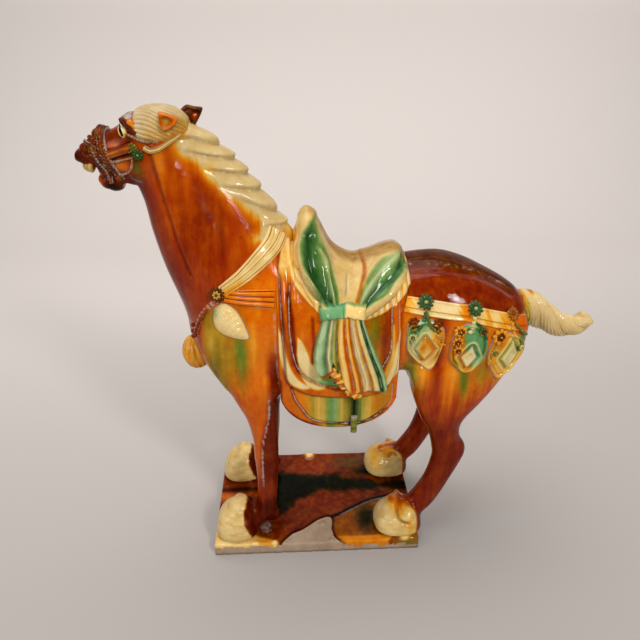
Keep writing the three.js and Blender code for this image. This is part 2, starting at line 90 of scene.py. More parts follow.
# %% Smooth curves through the ribs
def curve_through(rows, places):
    """Every column of a table at places from 0 to 1 along it."""
    rows = np.asarray(rows, float)
    last = len(rows) - 1
    at = np.clip(places, 0, 1) * last
    i = np.minimum(at.astype(int), last - 1)
    f = (at - i)[:, None]
    a, b, c, d = (rows[np.clip(i + k, 0, last)] for k in (-1, 0, 1, 2))
    return b + 0.5 * f * (c - a + f * (2 * a - 5 * b + 4 * c - d + f * (3 * (b - c) + d - a)))


def trace(*numbers):
    """Points of a line seen from the side, its x and z in turn."""
    return np.reshape(numbers, (-1, 2)).astype(float)


def bend(points, steps=5):
    """A line or outline with rounded corners, from the few points that set it out."""
    return curve_through(points, np.linspace(0, 1, steps * (len(points) - 1) + 1))


def curve(*numbers):
    return bend(trace(*numbers))


def ribs_at(rows, px, pz, count=96):
    """Which rib passes a point seen from the side: place on it, its sizes, and the overrun."""
    ribs = curve_through(rows, np.linspace(0, 1, count))
    middle = (ribs[:, 0:2] + ribs[:, 2:4]) / 2
    half = (ribs[:, 2:4] - ribs[:, 0:2]) / 2
    tall = np.hypot(half[:, 0], half[:, 1])
    wide = ribs[:, 4]
    ahead = middle[-1] - middle[0]
    turn = np.sign(half[0, 0] * ahead[1] - half[0, 1] * ahead[0])
    dx = px[None] - middle[:, 0, None]
    dz = pz[None] - middle[:, 1, None]
    past = turn * (half[:, 0, None] * dz - half[:, 1, None] * dx) / tall[:, None]
    place = (half[:, 0, None] * dx + half[:, 1, None] * dz) / tall[:, None] ** 2
    crossed = (past[:-1] >= 0) & (past[1:] < 0)
    cost = np.where(crossed, np.abs(place[:-1]), 1e9)
    best = cost.argmin(0)
    column = np.arange(len(px))
    found = cost[best, column] < 1e8
    share = past[best, column] / (past[best, column] - past[best + 1, column] + 1e-9)
    share = np.clip(share, 0, 1)
    v = place[best, column] * (1 - share) + place[best + 1, column] * share
    h = tall[best] * (1 - share) + tall[best + 1] * share
    w = wide[best] * (1 - share) + wide[best + 1] * share
    over = np.zeros(len(px))
    before = ~found & (np.abs(past[0]) < np.abs(past[-1]))
    after = ~found & ~before
    for where, end in ((before, 0), (after, -1)):
        v[where], h[where], w[where] = place[end][where], tall[end], wide[end]
        over[where] = np.abs(past[end][where])
    return v, h, w, over


def ring_distance(v, u, tall, wide, power=2, over=0, cap=1):
    """Distance to a ring of half height tall and half width wide; over runs past the end rib."""
    e = over / cap
    reach = (np.abs(v) ** power + np.abs(u) ** power + e**power) ** (1 / power)
    slope = np.sqrt((v / tall) ** 2 + (u / wide) ** 2 + (e / cap) ** 2) + 1e-6
    return (reach - 1) * reach / slope


# %% A block of clay
def soft_low(a, b, blend):
    """The lower of two distances, with the joint between them rounded over blend."""
    h = np.clip(0.5 + 0.5 * (b - a) / blend, 0, 1)
    return b * (1 - h) + a * h - blend * h * (1 - h)


ROOM, SIDE_ROOM = 4, 3  # space that a form is given round itself in its block


class Clay:
    """Distances to the skin on a box of cells over the near half, from y = -depth to y = 0."""

    def __init__(self, low, high, step):
        rows = int(math.ceil(-low[1] / step))
        self.step = step
        self.low = np.array([low[0], -rows * step, low[2]])
        self.x = (low[0] + step * np.arange(int((high[0] - low[0]) / step) + 1))[:, None, None]
        self.y = (-step * np.arange(rows, -1, -1))[None, :, None]
        self.z = (low[2] + step * np.arange(int((high[2] - low[2]) / step) + 1))[None, None, :]
        self.depth = np.full((self.x.size, self.y.size, self.z.size), 6, np.float32)

    def window(self, low, high):
        """The cells within a box, and their x, y and z."""
        cut = []
        for axis, a, b in zip((self.x, self.y, self.z), low, high):
            flat = axis.ravel()
            start = max(int(np.searchsorted(flat, a)) - 1, 0)
            cut.append(slice(start, min(int(np.searchsorted(flat, b)) + 1, flat.size)))
        return tuple(cut), self.x[cut[0]], self.y[:, cut[1]], self.z[:, :, cut[2]]

    def press(self, cut, distance, blend):
        """Adds a form."""
        self.depth[cut] = soft_low(distance, self.depth[cut], blend)

    def carve(self, cut, distance, blend):
        """Takes a form away."""
        self.depth[cut] = -soft_low(distance, -self.depth[cut], blend)

    def loft(self, rows, blend, power=2, cap=1.5, count=96):
        """A form of ribs; cap is how far it runs out past its end ribs."""
        rows = np.asarray(rows, float)
        x, z = rows[:, [0, 2]], rows[:, [1, 3]]
        low = (x.min() - ROOM, -rows[:, 4].max() - SIDE_ROOM, z.min() - ROOM)
        high = (x.max() + ROOM, 0, z.max() + ROOM)
        cut, x, y, z = self.window(low, high)
        grid_x, grid_z = np.broadcast_arrays(x[:, 0], z[0])
        found = ribs_at(rows, grid_x.ravel(), grid_z.ravel(), count)
        v, h, w, over = (part.reshape(grid_x.shape)[:, None, :] for part in found)
        self.press(cut, ring_distance(v, y / w, h, w, power, over, cap), blend)

    def limb(self, rows, blend, power=2, cap=(9, 1)):
        """A form of level slices; cap is how far it runs out past its top and its foot."""
        dense = curve_through(rows, np.linspace(0, 1, 160))
        dense = dense[np.argsort(dense[:, 2])]
        reach = dense[:, 3].max() + dense[:, 4].max() + SIDE_ROOM
        low = (dense[:, 0].min() - ROOM, -reach, dense[:, 2].min() - ROOM)
        high = (dense[:, 1].max() + ROOM, 0, dense[:, 2].max() + cap[0] + ROOM)
        cut, x, y, z = self.window(low, high)
        level = z[0, 0]
        front, back, wide, off = (np.interp(level, dense[:, 2], dense[:, k]) for k in (0, 1, 3, 4))
        over = np.maximum(level - dense[-1, 2], 0) + np.maximum(dense[0, 2] - level, 0)
        run = np.where(level > dense[-1, 2], cap[0], cap[1])
        half = (back - front) / 2
        v = (x - (front + half)) / half
        self.press(cut, ring_distance(v, (y + off) / wide, half, wide, power, over, run), blend)

    def ball(self, middle, radii, blend, tilt=0, act=None):
        """A ball of three radii, turned by tilt in the side view."""
        reach = max(radii) + 2
        cut, x, y, z = self.window([m - reach for m in middle], [m + reach for m in middle])
        (act or self.press)(cut, ball_distance(x, y, z, middle, radii, tilt), blend)

    def scoop(self, *form, tilt=0):
        self.ball(*form, tilt, self.carve)

    def cord(self, rows, blend, count=36):
        """A round-sectioned form along a centre line of [x, z, radius] in the middle plane."""
        line = curve_through(rows, np.linspace(0, 1, count))
        reach = line[:, 2].max() + SIDE_ROOM
        low = (line[:, 0].min() - reach, -reach, line[:, 1].min() - reach)
        high = (line[:, 0].max() + reach, 0, line[:, 1].max() + reach)
        cut, x, y, z = self.window(low, high)
        away, along = line_distance(x[:, 0], z[0], line[:, :2])
        radius = np.interp(along, np.linspace(0, 1, count), line[:, 2])
        self.press(cut, np.sqrt(away[:, None, :] ** 2 + y**2) - radius[:, None, :], blend)

    def soften(self, passes):
        """Rounds every edge a little, as slip and glaze do."""
        for _ in range(passes):
            f = self.depth
            for axis in range(3):
                last = f.shape[axis] - 1
                ahead = np.take(f, np.minimum(np.arange(1, last + 2), last), axis)
                behind = np.take(f, np.maximum(np.arange(-1, last), 0), axis)
                if axis == 1:
                    ahead[:, -1] = f[:, -2]
                f = 0.5 * f + 0.25 * (ahead + behind)
            self.depth = f.astype(np.float32)

    def at(self, points):
        """Distance to the skin at points on either side of the horse."""
        size = np.array(self.depth.shape)
        place = (np.stack([points[:, 0], -np.abs(points[:, 1]), points[:, 2]], 1) - self.low) / self.step
        place = np.clip(place, 0, size - 1.001)
        i = place.astype(int)
        f = place - i
        total = np.zeros(len(points))
        for corner in range(8):
            step = np.array([corner & 1, corner >> 1 & 1, corner >> 2 & 1])
            weight = np.prod(np.where(step, f, 1 - f), 1)
            j = np.minimum(i + step, size - 1)
            total += weight * self.depth[j[:, 0], j[:, 1], j[:, 2]]
        return total

    def slope(self, points, reach=0.5):
        """The outward direction at points."""
        out = np.empty_like(points)
        for axis in range(3):
            step = np.zeros(3)
            step[axis] = reach
            out[:, axis] = self.at(points + step) - self.at(points - step)
        return out / np.maximum(np.linalg.norm(out, axis=1, keepdims=True), 1e-9)

    def settle(self, points, turns=2):
        """Moves points straight onto the skin."""
        points = points.copy()
        for _ in range(turns):
            points -= self.slope(points) * self.at(points)[:, None]
        return points

    def lie(self, grid, turns=1, reach=0.5):
        """A grid of points laid on the skin, and its outward directions."""
        flat = self.settle(grid.reshape(-1, 3), turns)
        return flat.reshape(grid.shape), self.slope(flat, reach).reshape(grid.shape)

    def face(self, x, z, side):
        """The y of the skin on one side at (x, z), and 0 where there is none."""
        lanes = self.y.ravel()
        flat_x, flat_z = np.ravel(x), np.ravel(z)
        depth = np.empty((lanes.size, flat_x.size))
        for k, lane in enumerate(lanes):
            depth[k] = self.at(np.stack([flat_x, np.full(flat_x.size, lane), flat_z], 1))
        solid = depth < 0
        first = solid.argmax(0)
        column = np.arange(flat_x.size)
        before = depth[np.maximum(first - 1, 0), column]
        share = before / (before - depth[first, column] + 1e-9)
        y = np.where(solid.any(0) & (first > 0), lanes[first] - self.step * (1 - share), 0)
        return (-side * y).reshape(np.shape(x))


def ball_distance(x, y, z, middle, radii, tilt):
    dx, dy, dz = x - middle[0], y - middle[1], z - middle[2]
    c, s = math.cos(tilt), math.sin(tilt)
    parts = list(zip((c * dx + s * dz, dy, c * dz - s * dx), radii))
    reach = np.sqrt(sum((d / r) ** 2 for d, r in parts))
    return (reach - 1) * reach / (np.sqrt(sum((d / r**2) ** 2 for d, r in parts)) + 1e-6)


def line_distance(x, z, line):
    """Distance from points to a line drawn in the side view, and how far along it they are."""
    line = np.asarray(line, float)
    best = np.full(np.broadcast(x, z).shape, 1e9)
    along = np.zeros(best.shape)
    count = len(line) - 1
    for k in range(count):
        a, d = line[k], line[k + 1] - line[k]
        share = np.clip(((x - a[0]) * d[0] + (z - a[1]) * d[1]) / max(d @ d, 1e-9), 0, 1)
        away = np.hypot(x - a[0] - share * d[0], z - a[1] - share * d[1])
        closer = away < best
        best = np.where(closer, away, best)
        along = np.where(closer, (k + share) / count, along)
    return best, along


# %% [markdown]
# ## The ribs
#
# These tables follow the ones that the solids are lofted from, in hundredths of the height:
# the two ends of each rib as seen from the side, and its half width. Hooves, muzzle and jaw
# are a little smaller than on the solids, as on the real figure.

# %% The ribs of trunk, neck, head and legs
TRUNK = [
    [-26.4, 48, -26.6, 55, 3], [-25.2, 43.6, -25.8, 59.5, 6.8], [-21.5, 40, -22, 64, 9.9],
    [-15, 38, -15, 68, 11.8], [-6, 37, -6, 70, 12.6], [4, 36.2, 4, 68, 13], [13, 37.8, 13, 67, 13],
    [20, 41.4, 20, 68.4, 12.8], [27, 43, 27, 69, 13], [33, 43.2, 33, 67.5, 13],
    [38.5, 42.6, 38.5, 64.8, 12.2], [43, 42, 43, 62.2, 10.5], [46.4, 43, 46.4, 59.4, 7.6],
    [48.2, 46, 48.2, 55.6, 3.4]
]
NECK = [
    [-36, 87, -27, 97, 4], [-34.3, 81.5, -21.4, 93, 4.9], [-33.4, 75, -15.6, 87, 6],
    [-31.6, 67, -10, 79.7, 7.8], [-29, 59, -4.5, 72.5, 9.8], [-26.6, 50.5, 4, 65.5, 11.4],
    [-20, 43, 10, 57, 11]
]
HEAD = [
    [-24.6, 92, -24.4, 95.5, 2.6], [-28, 87, -27, 97.6, 4.5], [-33.2, 85.6, -31.6, 98, 4.9],
    [-36.8, 86.4, -35.8, 96.9, 4.6], [-39.8, 88, -39.4, 95.2, 3.7], [-42.6, 88.4, -42.4, 93.9, 3.1],
    [-44.5, 88.9, -44.4, 92.4, 2.9], [-45.7, 89.4, -45.7, 91.2, 1.9]
]
JAW = [
    [-32.4, 84.8, -32.4, 90, 2.8], [-35.6, 84.6, -35.6, 90, 3], [-38.6, 83.6, -38.8, 88.2, 2.5],
    [-40.6, 83.9, -41, 87.4, 2.3], [-41.9, 84.9, -42.2, 86.8, 1.5]
]
# Legs and hooves are level slices: front and back end, height, half width and place across.
FORELEG = [
    [-24.6, -5, 51, 4.4, 6.6], [-22.6, -6.6, 44.6, 4.8, 7.6], [-19.4, -7.6, 40, 4.3, 8.4],
    [-17.6, -8.1, 36.4, 3.8, 8.8], [-16, -8.4, 32.9, 3.4, 9], [-14.8, -8.7, 27, 2.8, 9.2],
    [-14.7, -8.8, 22.3, 2.8, 9.3], [-14.4, -9, 16.7, 2.4, 9.5], [-14.6, -9.6, 9.2, 2.3, 9.7],
    [-15.6, -10, 5.4, 2.5, 9.9], [-17.6, -11.2, 3, 2.4, 10.1], [-18.8, -13.6, 1.2, 2, 10.2]
]
HINDLEG = [
    [23.5, 46.4, 51, 5.2, 6.6], [21.5, 44.8, 46.3, 5.6, 7.2], [21.3, 41.5, 40.8, 5, 8.3],
    [22.6, 38.2, 36.2, 4.3, 8.9], [24.4, 34.7, 31.5, 3.5, 9.2], [26.4, 33.9, 27.7, 2.9, 9.3],
    [27.6, 35.2, 23, 2.8, 9.4], [27.8, 35.3, 20, 2.7, 9.5], [26.3, 33, 14, 2.4, 9.7],
    [23.6, 30.8, 9, 2.4, 9.9], [21, 28.6, 5.2, 2.5, 10], [19.6, 25.6, 2.4, 2.3, 10.1]
]
FORE_HOOF = [
    [-25.1, -14.4, 0, 5.8, 10.4], [-25, -14.6, 1.6, 5.7, 10.4], [-24.4, -15.2, 3.9, 5.1, 10.3],
    [-23, -15.8, 6.3, 3.9, 10.2], [-20.6, -16.6, 8, 1.8, 10.1]
]
HIND_HOOF = [
    [14.3, 26.6, 0, 5.9, 10.5], [14.4, 26.4, 1.5, 5.7, 10.5], [15.2, 25.8, 3.7, 4.8, 10.4],
    [17, 24.8, 5.6, 3.5, 10.3], [19.4, 23.2, 6.5, 1.6, 10.2]
]
# The roll of the mane: x, z and radius.
MANE = [
    [-26.5, 95.4, 2.2], [-22, 92.5, 2.5], [-18.5, 89.1, 2.7], [-15.8, 85.9, 2.8], [-13.1, 82.2, 2.9],
    [-10.3, 77.8, 3.1], [-7.2, 73, 3.3], [-4.2, 69, 3.2]
]
NEAR, FAR = -1, 1

# The neck is drawn apart from the trunk, finer, and the joint lies under the collar.
COLLAR_LINE = trace(-1, 80.4, -5, 77.2, -20.2, 64.2, -29.6, 52.4, -33, 47.8)


def above_collar(x, z):
    """How far a point seen from the side is above the line of the collar."""
    away, _ = line_distance(x, z, COLLAR_LINE)
    level = np.interp(x, *COLLAR_LINE[::-1].T)
    return np.where(z > level, away, -away)


# %% Trunk and legs as one body of clay
def press_body(clay):
    clay.loft(TRUNK, 0.1, cap=1.4)
    clay.loft(NECK, 1.6, cap=1)
    clay.limb(FORELEG, 2.2)
    clay.limb(HINDLEG, 2.2)
    clay.limb(FORE_HOOF, 0.5, power=2.7, cap=(0.8, 0.8))
    clay.limb(HIND_HOOF, 0.5, power=2.7, cap=(0.8, 0.8))
    # The knob behind each fetlock and the swelling over the hind hooves.
    clay.ball((-10.6, -9.9, 3.4), (1.6, 1.7, 2.2), 0.8)
    clay.ball((22.6, -12.6, 4.9), (2.4, 2, 1.8), 0.7)
    clay.ball((19, -9.6, 6.3), (1.5, 2.2, 1.1), 0.6)
    # Point of the hock, stifle and elbow.
    clay.ball((34.2, -9.4, 22.6), (1.5, 1.9, 2.4), 1.2)
    clay.ball((24, -10.6, 44), (3, 2.4, 4), 2, tilt=0.3)
    clay.ball((-9.6, -10.6, 42.4), (2.2, 2.6, 3), 1.6)
    clay.depth = np.maximum(clay.depth, -clay.z).astype(np.float32)


body = Clay(low=(-35, -17, -1.2), high=(51, 0, 82), step=0.48)
press_body(body)
body.soften(passes=3)
print("body clay", body.depth.shape)

# %% [markdown]
# ## Head, neck and mane
#
# The head carries the finest modelling, so it has a block of clay with smaller cells: the
# skull and jaw from their ribs, and then brows, nostrils, lips and cheeks pressed on as a
# modeller adds pellets. The mane is a thick roll along the crest.

# %% Head and neck in a finer block of clay
def press_head(clay):
    clay.loft(HEAD, 1, power=2.3, cap=0.7)
    clay.loft(JAW, 0.5, cap=0.7)
    clay.cord(MANE, 1.4)
    clay.ball((-30.4, 0, 95), (6.6, 4.5, 4.5), 0.5, tilt=0.15)
    # Brow, cheek and the long bone of the nose.
    clay.ball((-34.2, -2.4, 96.7), (2, 1.3, 0.9), 0.5, tilt=-0.75)
    clay.ball((-34.6, -1.3, 97.3), (2, 1.5, 1.2), 0.6)
    clay.ball((-33.6, -3.3, 89.4), (2.8, 1.9, 3.2), 0.9)
    clay.ball((-38, -2.6, 91.6), (3.6, 1.4, 1.1), 0.7, tilt=-0.35)
    clay.ball((-40.6, 0, 94.3), (2.1, 2.5, 1.35), 0.7, tilt=-0.35)
    # Nostrils with raised rims, the lip over the teeth and the jutting lower lip.
    clay.ball((-43.7, -2.1, 92.4), (1.1, 1, 1), 0.3)
    clay.ball((-42.2, -2.3, 93.6), (1, 1, 0.8), 0.3)
    clay.ball((-43.2, -2.6, 90.9), (1.1, 0.9, 0.6), 0.3, tilt=-0.3)
    clay.scoop((-43.5, -3.5, 92), (0.75, 0.7, 0.45), 0.25, tilt=-0.5)
    clay.ball((-44.5, 0, 90.8), (1.95, 2.6, 1.3), 0.4)
    clay.ball((-43.9, 0, 91.7), (1.4, 2.4, 1.4), 0.5)
    clay.ball((-40.4, 0, 88), (2.1, 2.6, 1.8), 0.6)
    clay.ball((-40.9, 0, 85.4), (1.5, 2.2, 1.5), 0.4)
    clay.ball((-39.6, 0, 84.6), (1.4, 1.5, 1.2), 0.4)
    clay.scoop((-44.9, 0, 87.2), (2.6, 4, 0.55), 0.3)
    clay.scoop((-36.9, 0, 83.9), (1, 5, 1.6), 0.5)
    # The hollow that the eye sits in.
    clay.scoop((-35.9, -4.6, 96), (0.8, 0.7, 1.3), 0.3)


head = Clay(low=(-49, -13, 46), high=(1, 0, 101), step=0.26)
head.loft(TRUNK, 0.1, cap=1.4, count=48)
head.loft(NECK, 1.6, cap=1)
head.limb(FORELEG, 2.2)
press_head(head)
head.soften(passes=1)
print("head clay", head.depth.shape)


# %% From clay to a skin, and from a skin to a Blender piece
def skin_of(clay):
    """Draws the skin of a block of clay, both sides, as points and quads."""
    whole = np.concatenate([clay.depth, clay.depth[:, -2::-1, :]], axis=1)
    cells = openvdb.FloatGrid()
    cells.background = 6.0
    cells.copyFromArray(np.ascontiguousarray(whole, dtype=np.float32))
    points, quads = cells.convertToQuads(0.0)
    return points.astype(float) * clay.step + clay.low, quads.astype(np.int64)


def directions(points, quads):
    """The outward direction at every point of a mesh of quads."""
    a, b, c, d = (points[quads[:, k]] for k in range(4))
    face = np.cross(c - a, d - b)
    total = np.zeros_like(points)
    for k in range(4):
        for axis in range(3):
            total[:, axis] += np.bincount(quads[:, k], face[:, axis], len(points))
    return total / np.maximum(np.linalg.norm(total, axis=1, keepdims=True), 1e-12)


def set_places(mesh, points):
    """Gives a mesh its points, turned from hundredths of the height into metres."""
    place = np.asarray(points, float) * UNIT
    place[:, 2] += HOOF_BASE
    mesh.vertices.add(len(place))
    mesh.vertices.foreach_set("co", place.astype(np.float32).ravel())


def set_mark(mesh, name, values):
    """Writes a field of numbers or of directions on the points."""
    kind, slot = ("FLOAT", "value") if np.ndim(values) == 1 else ("FLOAT_VECTOR", "vector")
    layer = mesh.attributes.new(name, kind, "POINT")
    layer.data.foreach_set(slot, np.asarray(values, np.float32).ravel())


def make_piece(name, points, faces, marks):
    """A closed piece; marks are soft fields on its points that the glaze reads."""
    mesh = bpy.data.meshes.new(name)
    set_places(mesh, points)
    mesh.loops.add(faces.size)
    mesh.loops.foreach_set("vertex_index", faces.astype(np.int32).ravel())
    mesh.polygons.add(len(faces))
    mesh.polygons.foreach_set("loop_start", np.arange(0, faces.size, 4, dtype=np.int32))
    mesh.update(calc_edges=True)
    mesh.validate()
    for mark, values in dict(marks, hollow=hollows(points, faces)).items():
        set_mark(mesh, mark, np.ravel(values))
    mesh.shade_smooth()
    mesh.materials.append(glaze)
    print(name, len(points), "points", 2 * len(faces), "triangles")
    return placed(name, mesh)

# %% [markdown]
# ## Grids that close into a skin
#
# Straps, flaps, flowers and pendants are sheets of clay laid over the body. Each is a grid
# of points on its face and a second grid sunk below, closed round the rim, so that every
# piece is a solid of its own that can be printed or measured.

# %% Closing two grids, and a disc without a pole
def outward(points, quads):
    """Quads of a closed skin, turned so that they face outwards."""
    a, b, c, d = (points[quads[:, k]] for k in range(4))
    volume = np.einsum("ij,ij->", (a + b + c + d) / 4, np.cross(c - a, d - b))
    return points, quads if volume > 0 else quads[:, ::-1]


def shell(face, back):
    """Points and quads of a closed skin between two grids of the same size."""
    n, m = face.shape[:2]
    top = np.arange(n * m).reshape(n, m)
    low = top + n * m

    def cells(a):
        return np.stack([a[:-1, :-1], a[1:, :-1], a[1:, 1:], a[:-1, 1:]], -1).reshape(-1, 4)

    def rim(a, b):
        return np.stack([a[:-1], a[1:], b[1:], b[:-1]], -1)

    quads = [cells(top), cells(low)[:, ::-1], rim(top[0], low[0]), rim(top[-1, ::-1], low[-1, ::-1])]
    quads += [rim(top[::-1, 0], low[::-1, 0]), rim(top[:, -1], low[:, -1])]
    return outward(np.concatenate([face.reshape(-1, 3), back.reshape(-1, 3)]), np.concatenate(quads))


def lattice(rows, columns, start=-1):
    """Two grids that run from start to 1, one down the rows and one across the columns."""
    return np.meshgrid(np.linspace(start, 1, rows), np.linspace(start, 1, columns), indexing="ij")


def disc(count):
    """Radius and angle of each point of a square grid pulled into a disc of radius 1."""
    a, b = lattice(count, count)
    x, y = a * np.sqrt(1 - b * b / 2), b * np.sqrt(1 - a * a / 2)
    return np.clip(np.hypot(x, y), 0, 1), np.arctan2(y, x)


def smooth(value, low, high):
    """0 below low, 1 above high, and an even step between."""
    t = np.clip((value - low) / (high - low), 0, 1)
    return t * t * (3 - 2 * t)


def bump(value, middle, width):
    """1 where value is at its middle, dying away over its width."""
    return np.exp(-(((value - middle) / width) ** 2))


def spot(x, z, at_x, at_z, across, down):
    return bump(x, at_x, across) * bump(z, at_z, down)


def wobble(x, seed):
    """A soft irregular wave about 0, for streaks and runs."""
    waves = [(1, 0.9), (2.3, 0.7), (4.9, 0.45), (9.7, 0.25)]
    return sum(size * np.sin(rate * x + seed * 2.3 * (k + 1)) for k, (rate, size) in enumerate(waves))


def x_at(z, line):
    """Where a line that runs downwards is at each height."""
    return np.interp(z, line[::-1, 1], line[::-1, 0])


def stroke(x, z, line, width):
    """1 on a line and 0 beyond its width."""
    away, _ = line_distance(x, z, line)
    return bump(away, 0, width)


def inside(x, z, *outline):
    """Distance from a closed outline drawn in the side view, positive inside it."""
    outline = np.vstack(outline)
    ring = np.vstack([outline, outline[:1]])
    away, _ = line_distance(x, z, ring)
    crossings = np.zeros(away.shape, bool)
    for (x0, z0), (x1, z1) in zip(ring[:-1], ring[1:]):
        if z0 == z1:
            continue
        spans = (z0 > z) != (z1 > z)
        crossings ^= spans & (x < x0 + (z - z0) * (x1 - x0) / (z1 - z0))
    return np.where(crossings, away, -away)


# %% [markdown]
# ## The saddle, its cover and the flaps
#
# A cloth cover lies over the saddle and is gathered into a knot on each side, and a panelled
# flap hangs below. It is one grid that runs from the foot of the near flap up over the seat
# and down the far side: each column is an arch, measured along its length, so the cells stay
# even where the arch turns over. Panels, folds and hems are then raised on that surface.

# %% The arches of saddle and flap
SADDLE_RIDGE = trace(
    -3.9, 74, -2.6, 77.6, -1.2, 79, 0.6, 76.2, 3.4, 71.2, 8, 68.4, 12.5, 69.3, 16.4, 70.6, 18.4, 69.6,
    19.4, 66.5
)
SADDLE_FOOT, SADDLE_REACH = 58, 14.2
FLAP_FRONT, FLAP_BACK, FLAP_FOOT, FLAP_ARM = -8.2, 18, 32.2, 11.5
BULGE_X, BULGE_Z, BULGE_REACH = 5, 47, 14.6
FLAP_THICKNESS = 4.2
FLAP_TOP, UPPER_FOOT = 62, 46  # heights of the flap's free part and of the upper panel's foot


def ridge_height(x):
    """The height of the middle line: the withers in front, then the seat."""
    middle = body.depth[:, -1, :]
    solid = middle < 0
    top = solid.shape[1] - 1 - solid[:, ::-1].argmax(1)
    withers = body.z.ravel()[top] + 0.5
    ridge = curve_through(SADDLE_RIDGE, np.linspace(0, 1, 60))
    seat = np.interp(x, ridge[:, 0], ridge[:, 1], left=0)
    return np.maximum(np.interp(x, body.x.ravel(), withers), seat)


def flap_foot(x):
    """The height of the flap's lower edge, which turns up in a round arm at both ends."""
    middle, half = (FLAP_FRONT + FLAP_BACK) / 2, (FLAP_BACK - FLAP_FRONT) / 2
    share = np.clip(np.abs(x - middle) / half, 0, 1)
    return FLAP_FOOT + FLAP_ARM * (1 - (1 - share**2.3) ** (1 / 2.3))


def flap_face(x, z):
    """How far out the flap hangs, most of all at its bulge over the belly."""
    fall = np.where(z > BULGE_Z, 0.011, 0.005)
    return BULGE_REACH - fall * (z - BULGE_Z) ** 2 - 0.005 * (x - BULGE_X) ** 2


def saddle_arch(z, top):
    """How far out the saddle is between its foot and its top."""
    rise = np.clip((z - SADDLE_FOOT) / (top - SADDLE_FOOT), 0, 1)
    return SADDLE_REACH * (1 - rise**1.5) ** (1 / 1.5)


# Lines of the saddlery as the near side shows them.
COVER_FRONT = curve(
    -3.2, 80, -2.7, 75, -3.4, 72.6, -3.3, 70.7, -2.6, 69.2, -1.4, 67.2, 0.4, 64.6, 1.4, 63.2, 1.2, 60.4
)
COVER_BACK = curve(
    9.6, 60.2, 10.6, 60.6, 12.6, 61.7, 15.1, 63.2, 17.2, 64.9, 18.8, 66.4, 19.6, 67.9, 19.8, 72
)
COVER = np.vstack([COVER_FRONT, COVER_BACK, trace(19.8, 82, -3.2, 82)])
SKIRT_FRONT = curve(
    -6.4, 76, -6.5, 74.6, -5.6, 70.9, -5.1, 67.3, -3.9, 65.7, -2.1, 63.5, -0.3, 61.6, 1, 60.6
)
SKIRT_BACK = curve(10.2, 59.3, 13.4, 60.3, 15.4, 61.4, 17.6, 62.9, 19.6, 65)
FIELD_LINE = curve(
    -5.3, 66.2, -5.5, 60.2, -5.2, 54.7, -4.2, 49.8, -2, 46.5, 1.5, 44.6, 5.1, 43.7, 9.6, 43.9, 12.4, 45.6,
    14.1, 49, 15.3, 51.7, 15.7, 55.2, 15.6, 60.6, 15.7, 63.2
)
UPPER_PANEL = curve(
    -7.3, 68, -7.1, 60.1, -6.7, 52, -6.3, 45.7, -3.4, 42.9, 0.2, 41.7, 5.5, 41.2, 10.6, 41.3, 14.5, 42.6,
    16.6, 46.2, 17.4, 51.3, 17.2, 60.3, 17.2, 64.4
)
LOWER_PANEL = curve(
    -5.4, 43.6, -4.6, 40.6, -3.4, 38.3, -0.8, 34.9, 5, 33.7, 10.6, 33.9, 14.5, 36.7, 16.5, 39.9, 16.5, 44.2
)
INNER_HOLLOW = curve(-4.6, 63.3, -4, 60.4, -3.8, 57.3, -2.9, 54.1, -2.6, 50.6)
FOLD_FRONT = curve(-0.7, 78, -1.4, 76.6, -2.3, 74.3, -2.4, 71.3, -1.6, 68.5, -0.1, 65.8, 1.6, 63, 2.6, 61.4)
FOLD_FRONT_BACK = curve(-0.4, 78, 0.1, 75.4, 1.2, 72.7, 2.4, 69.7, 3.7, 66.6, 4.5, 64.4, 4.7, 61.4)
FOLD_VALLEY = curve(-1.2, 75, -1.2, 71.2, -0.3, 68.3, 1.3, 65.4, 2.8, 62.6)
FOLD_CREST = curve(0.4, 72.4, 1.6, 69.9, 2.5, 67, 3.4, 64, 3.7, 62)
REAR_FOLD_TOP = curve(18.4, 70, 17.1, 69.7, 14.7, 69, 12.3, 67.4, 11.1, 66.1, 9.3, 63.9, 8.2, 61.6)
REAR_FOLD_FOOT = curve(18.8, 69.4, 19.2, 67.9, 18.4, 67.2, 16.6, 65.7, 14.6, 63.6, 11.9, 62.2, 9.2, 60.8)
REAR_CREST = curve(17.4, 69.2, 15.4, 68.2, 13.1, 66.5, 10.6, 64, 9, 61.8)
REAR_VALLEY = curve(17.8, 68.2, 16, 66.6, 13.6, 65, 11.2, 63.2, 9.2, 61.2)
SEAM = trace(6.4, 66.3, 6.1, 63.6)
DRIP = curve(9, 69.6, 10.6, 68.1, 10.6, 66.7, 9.7, 65, 8.4, 62.6)
# Each line of the gathers with its height and its width.
FOLD_LINES = (
    (FOLD_VALLEY, -0.55, 0.6), (FOLD_CREST, 0.85, 0.42), (REAR_VALLEY, -0.45, 0.5),
    (REAR_CREST, 0.75, 0.42), (FOLD_FRONT, 0.22, 0.35), (FOLD_FRONT_BACK, 0.22, 0.35),
    (REAR_FOLD_TOP, 0.22, 0.35), (REAR_FOLD_FOOT, 0.22, 0.35), (SEAM, -0.3, 0.25), (DRIP, 0.12, 0.3),
)
PANEL_LINES = ((FIELD_LINE, 0.3), (UPPER_PANEL, 0.28), (LOWER_PANEL, 0.32), (INNER_HOLLOW, 0.16))


# %% Raising panels, cover and folds on the arches
def cover_mask(x, z):
    return smooth(inside(x, z, COVER), -0.05, 0.32)


def skirt_mask(x, z):
    return smooth(inside(x, z, SKIRT_FRONT, SKIRT_BACK, trace(20.5, 82, -6.4, 82)), -0.05, 0.3)


def fold_edges(x, z):
    """Distances inside the two gathers, in front and behind."""
    front = inside(x, z, FOLD_FRONT, FOLD_FRONT_BACK[::-1])
    return front, inside(x, z, REAR_FOLD_TOP, REAR_FOLD_FOOT[::-1])


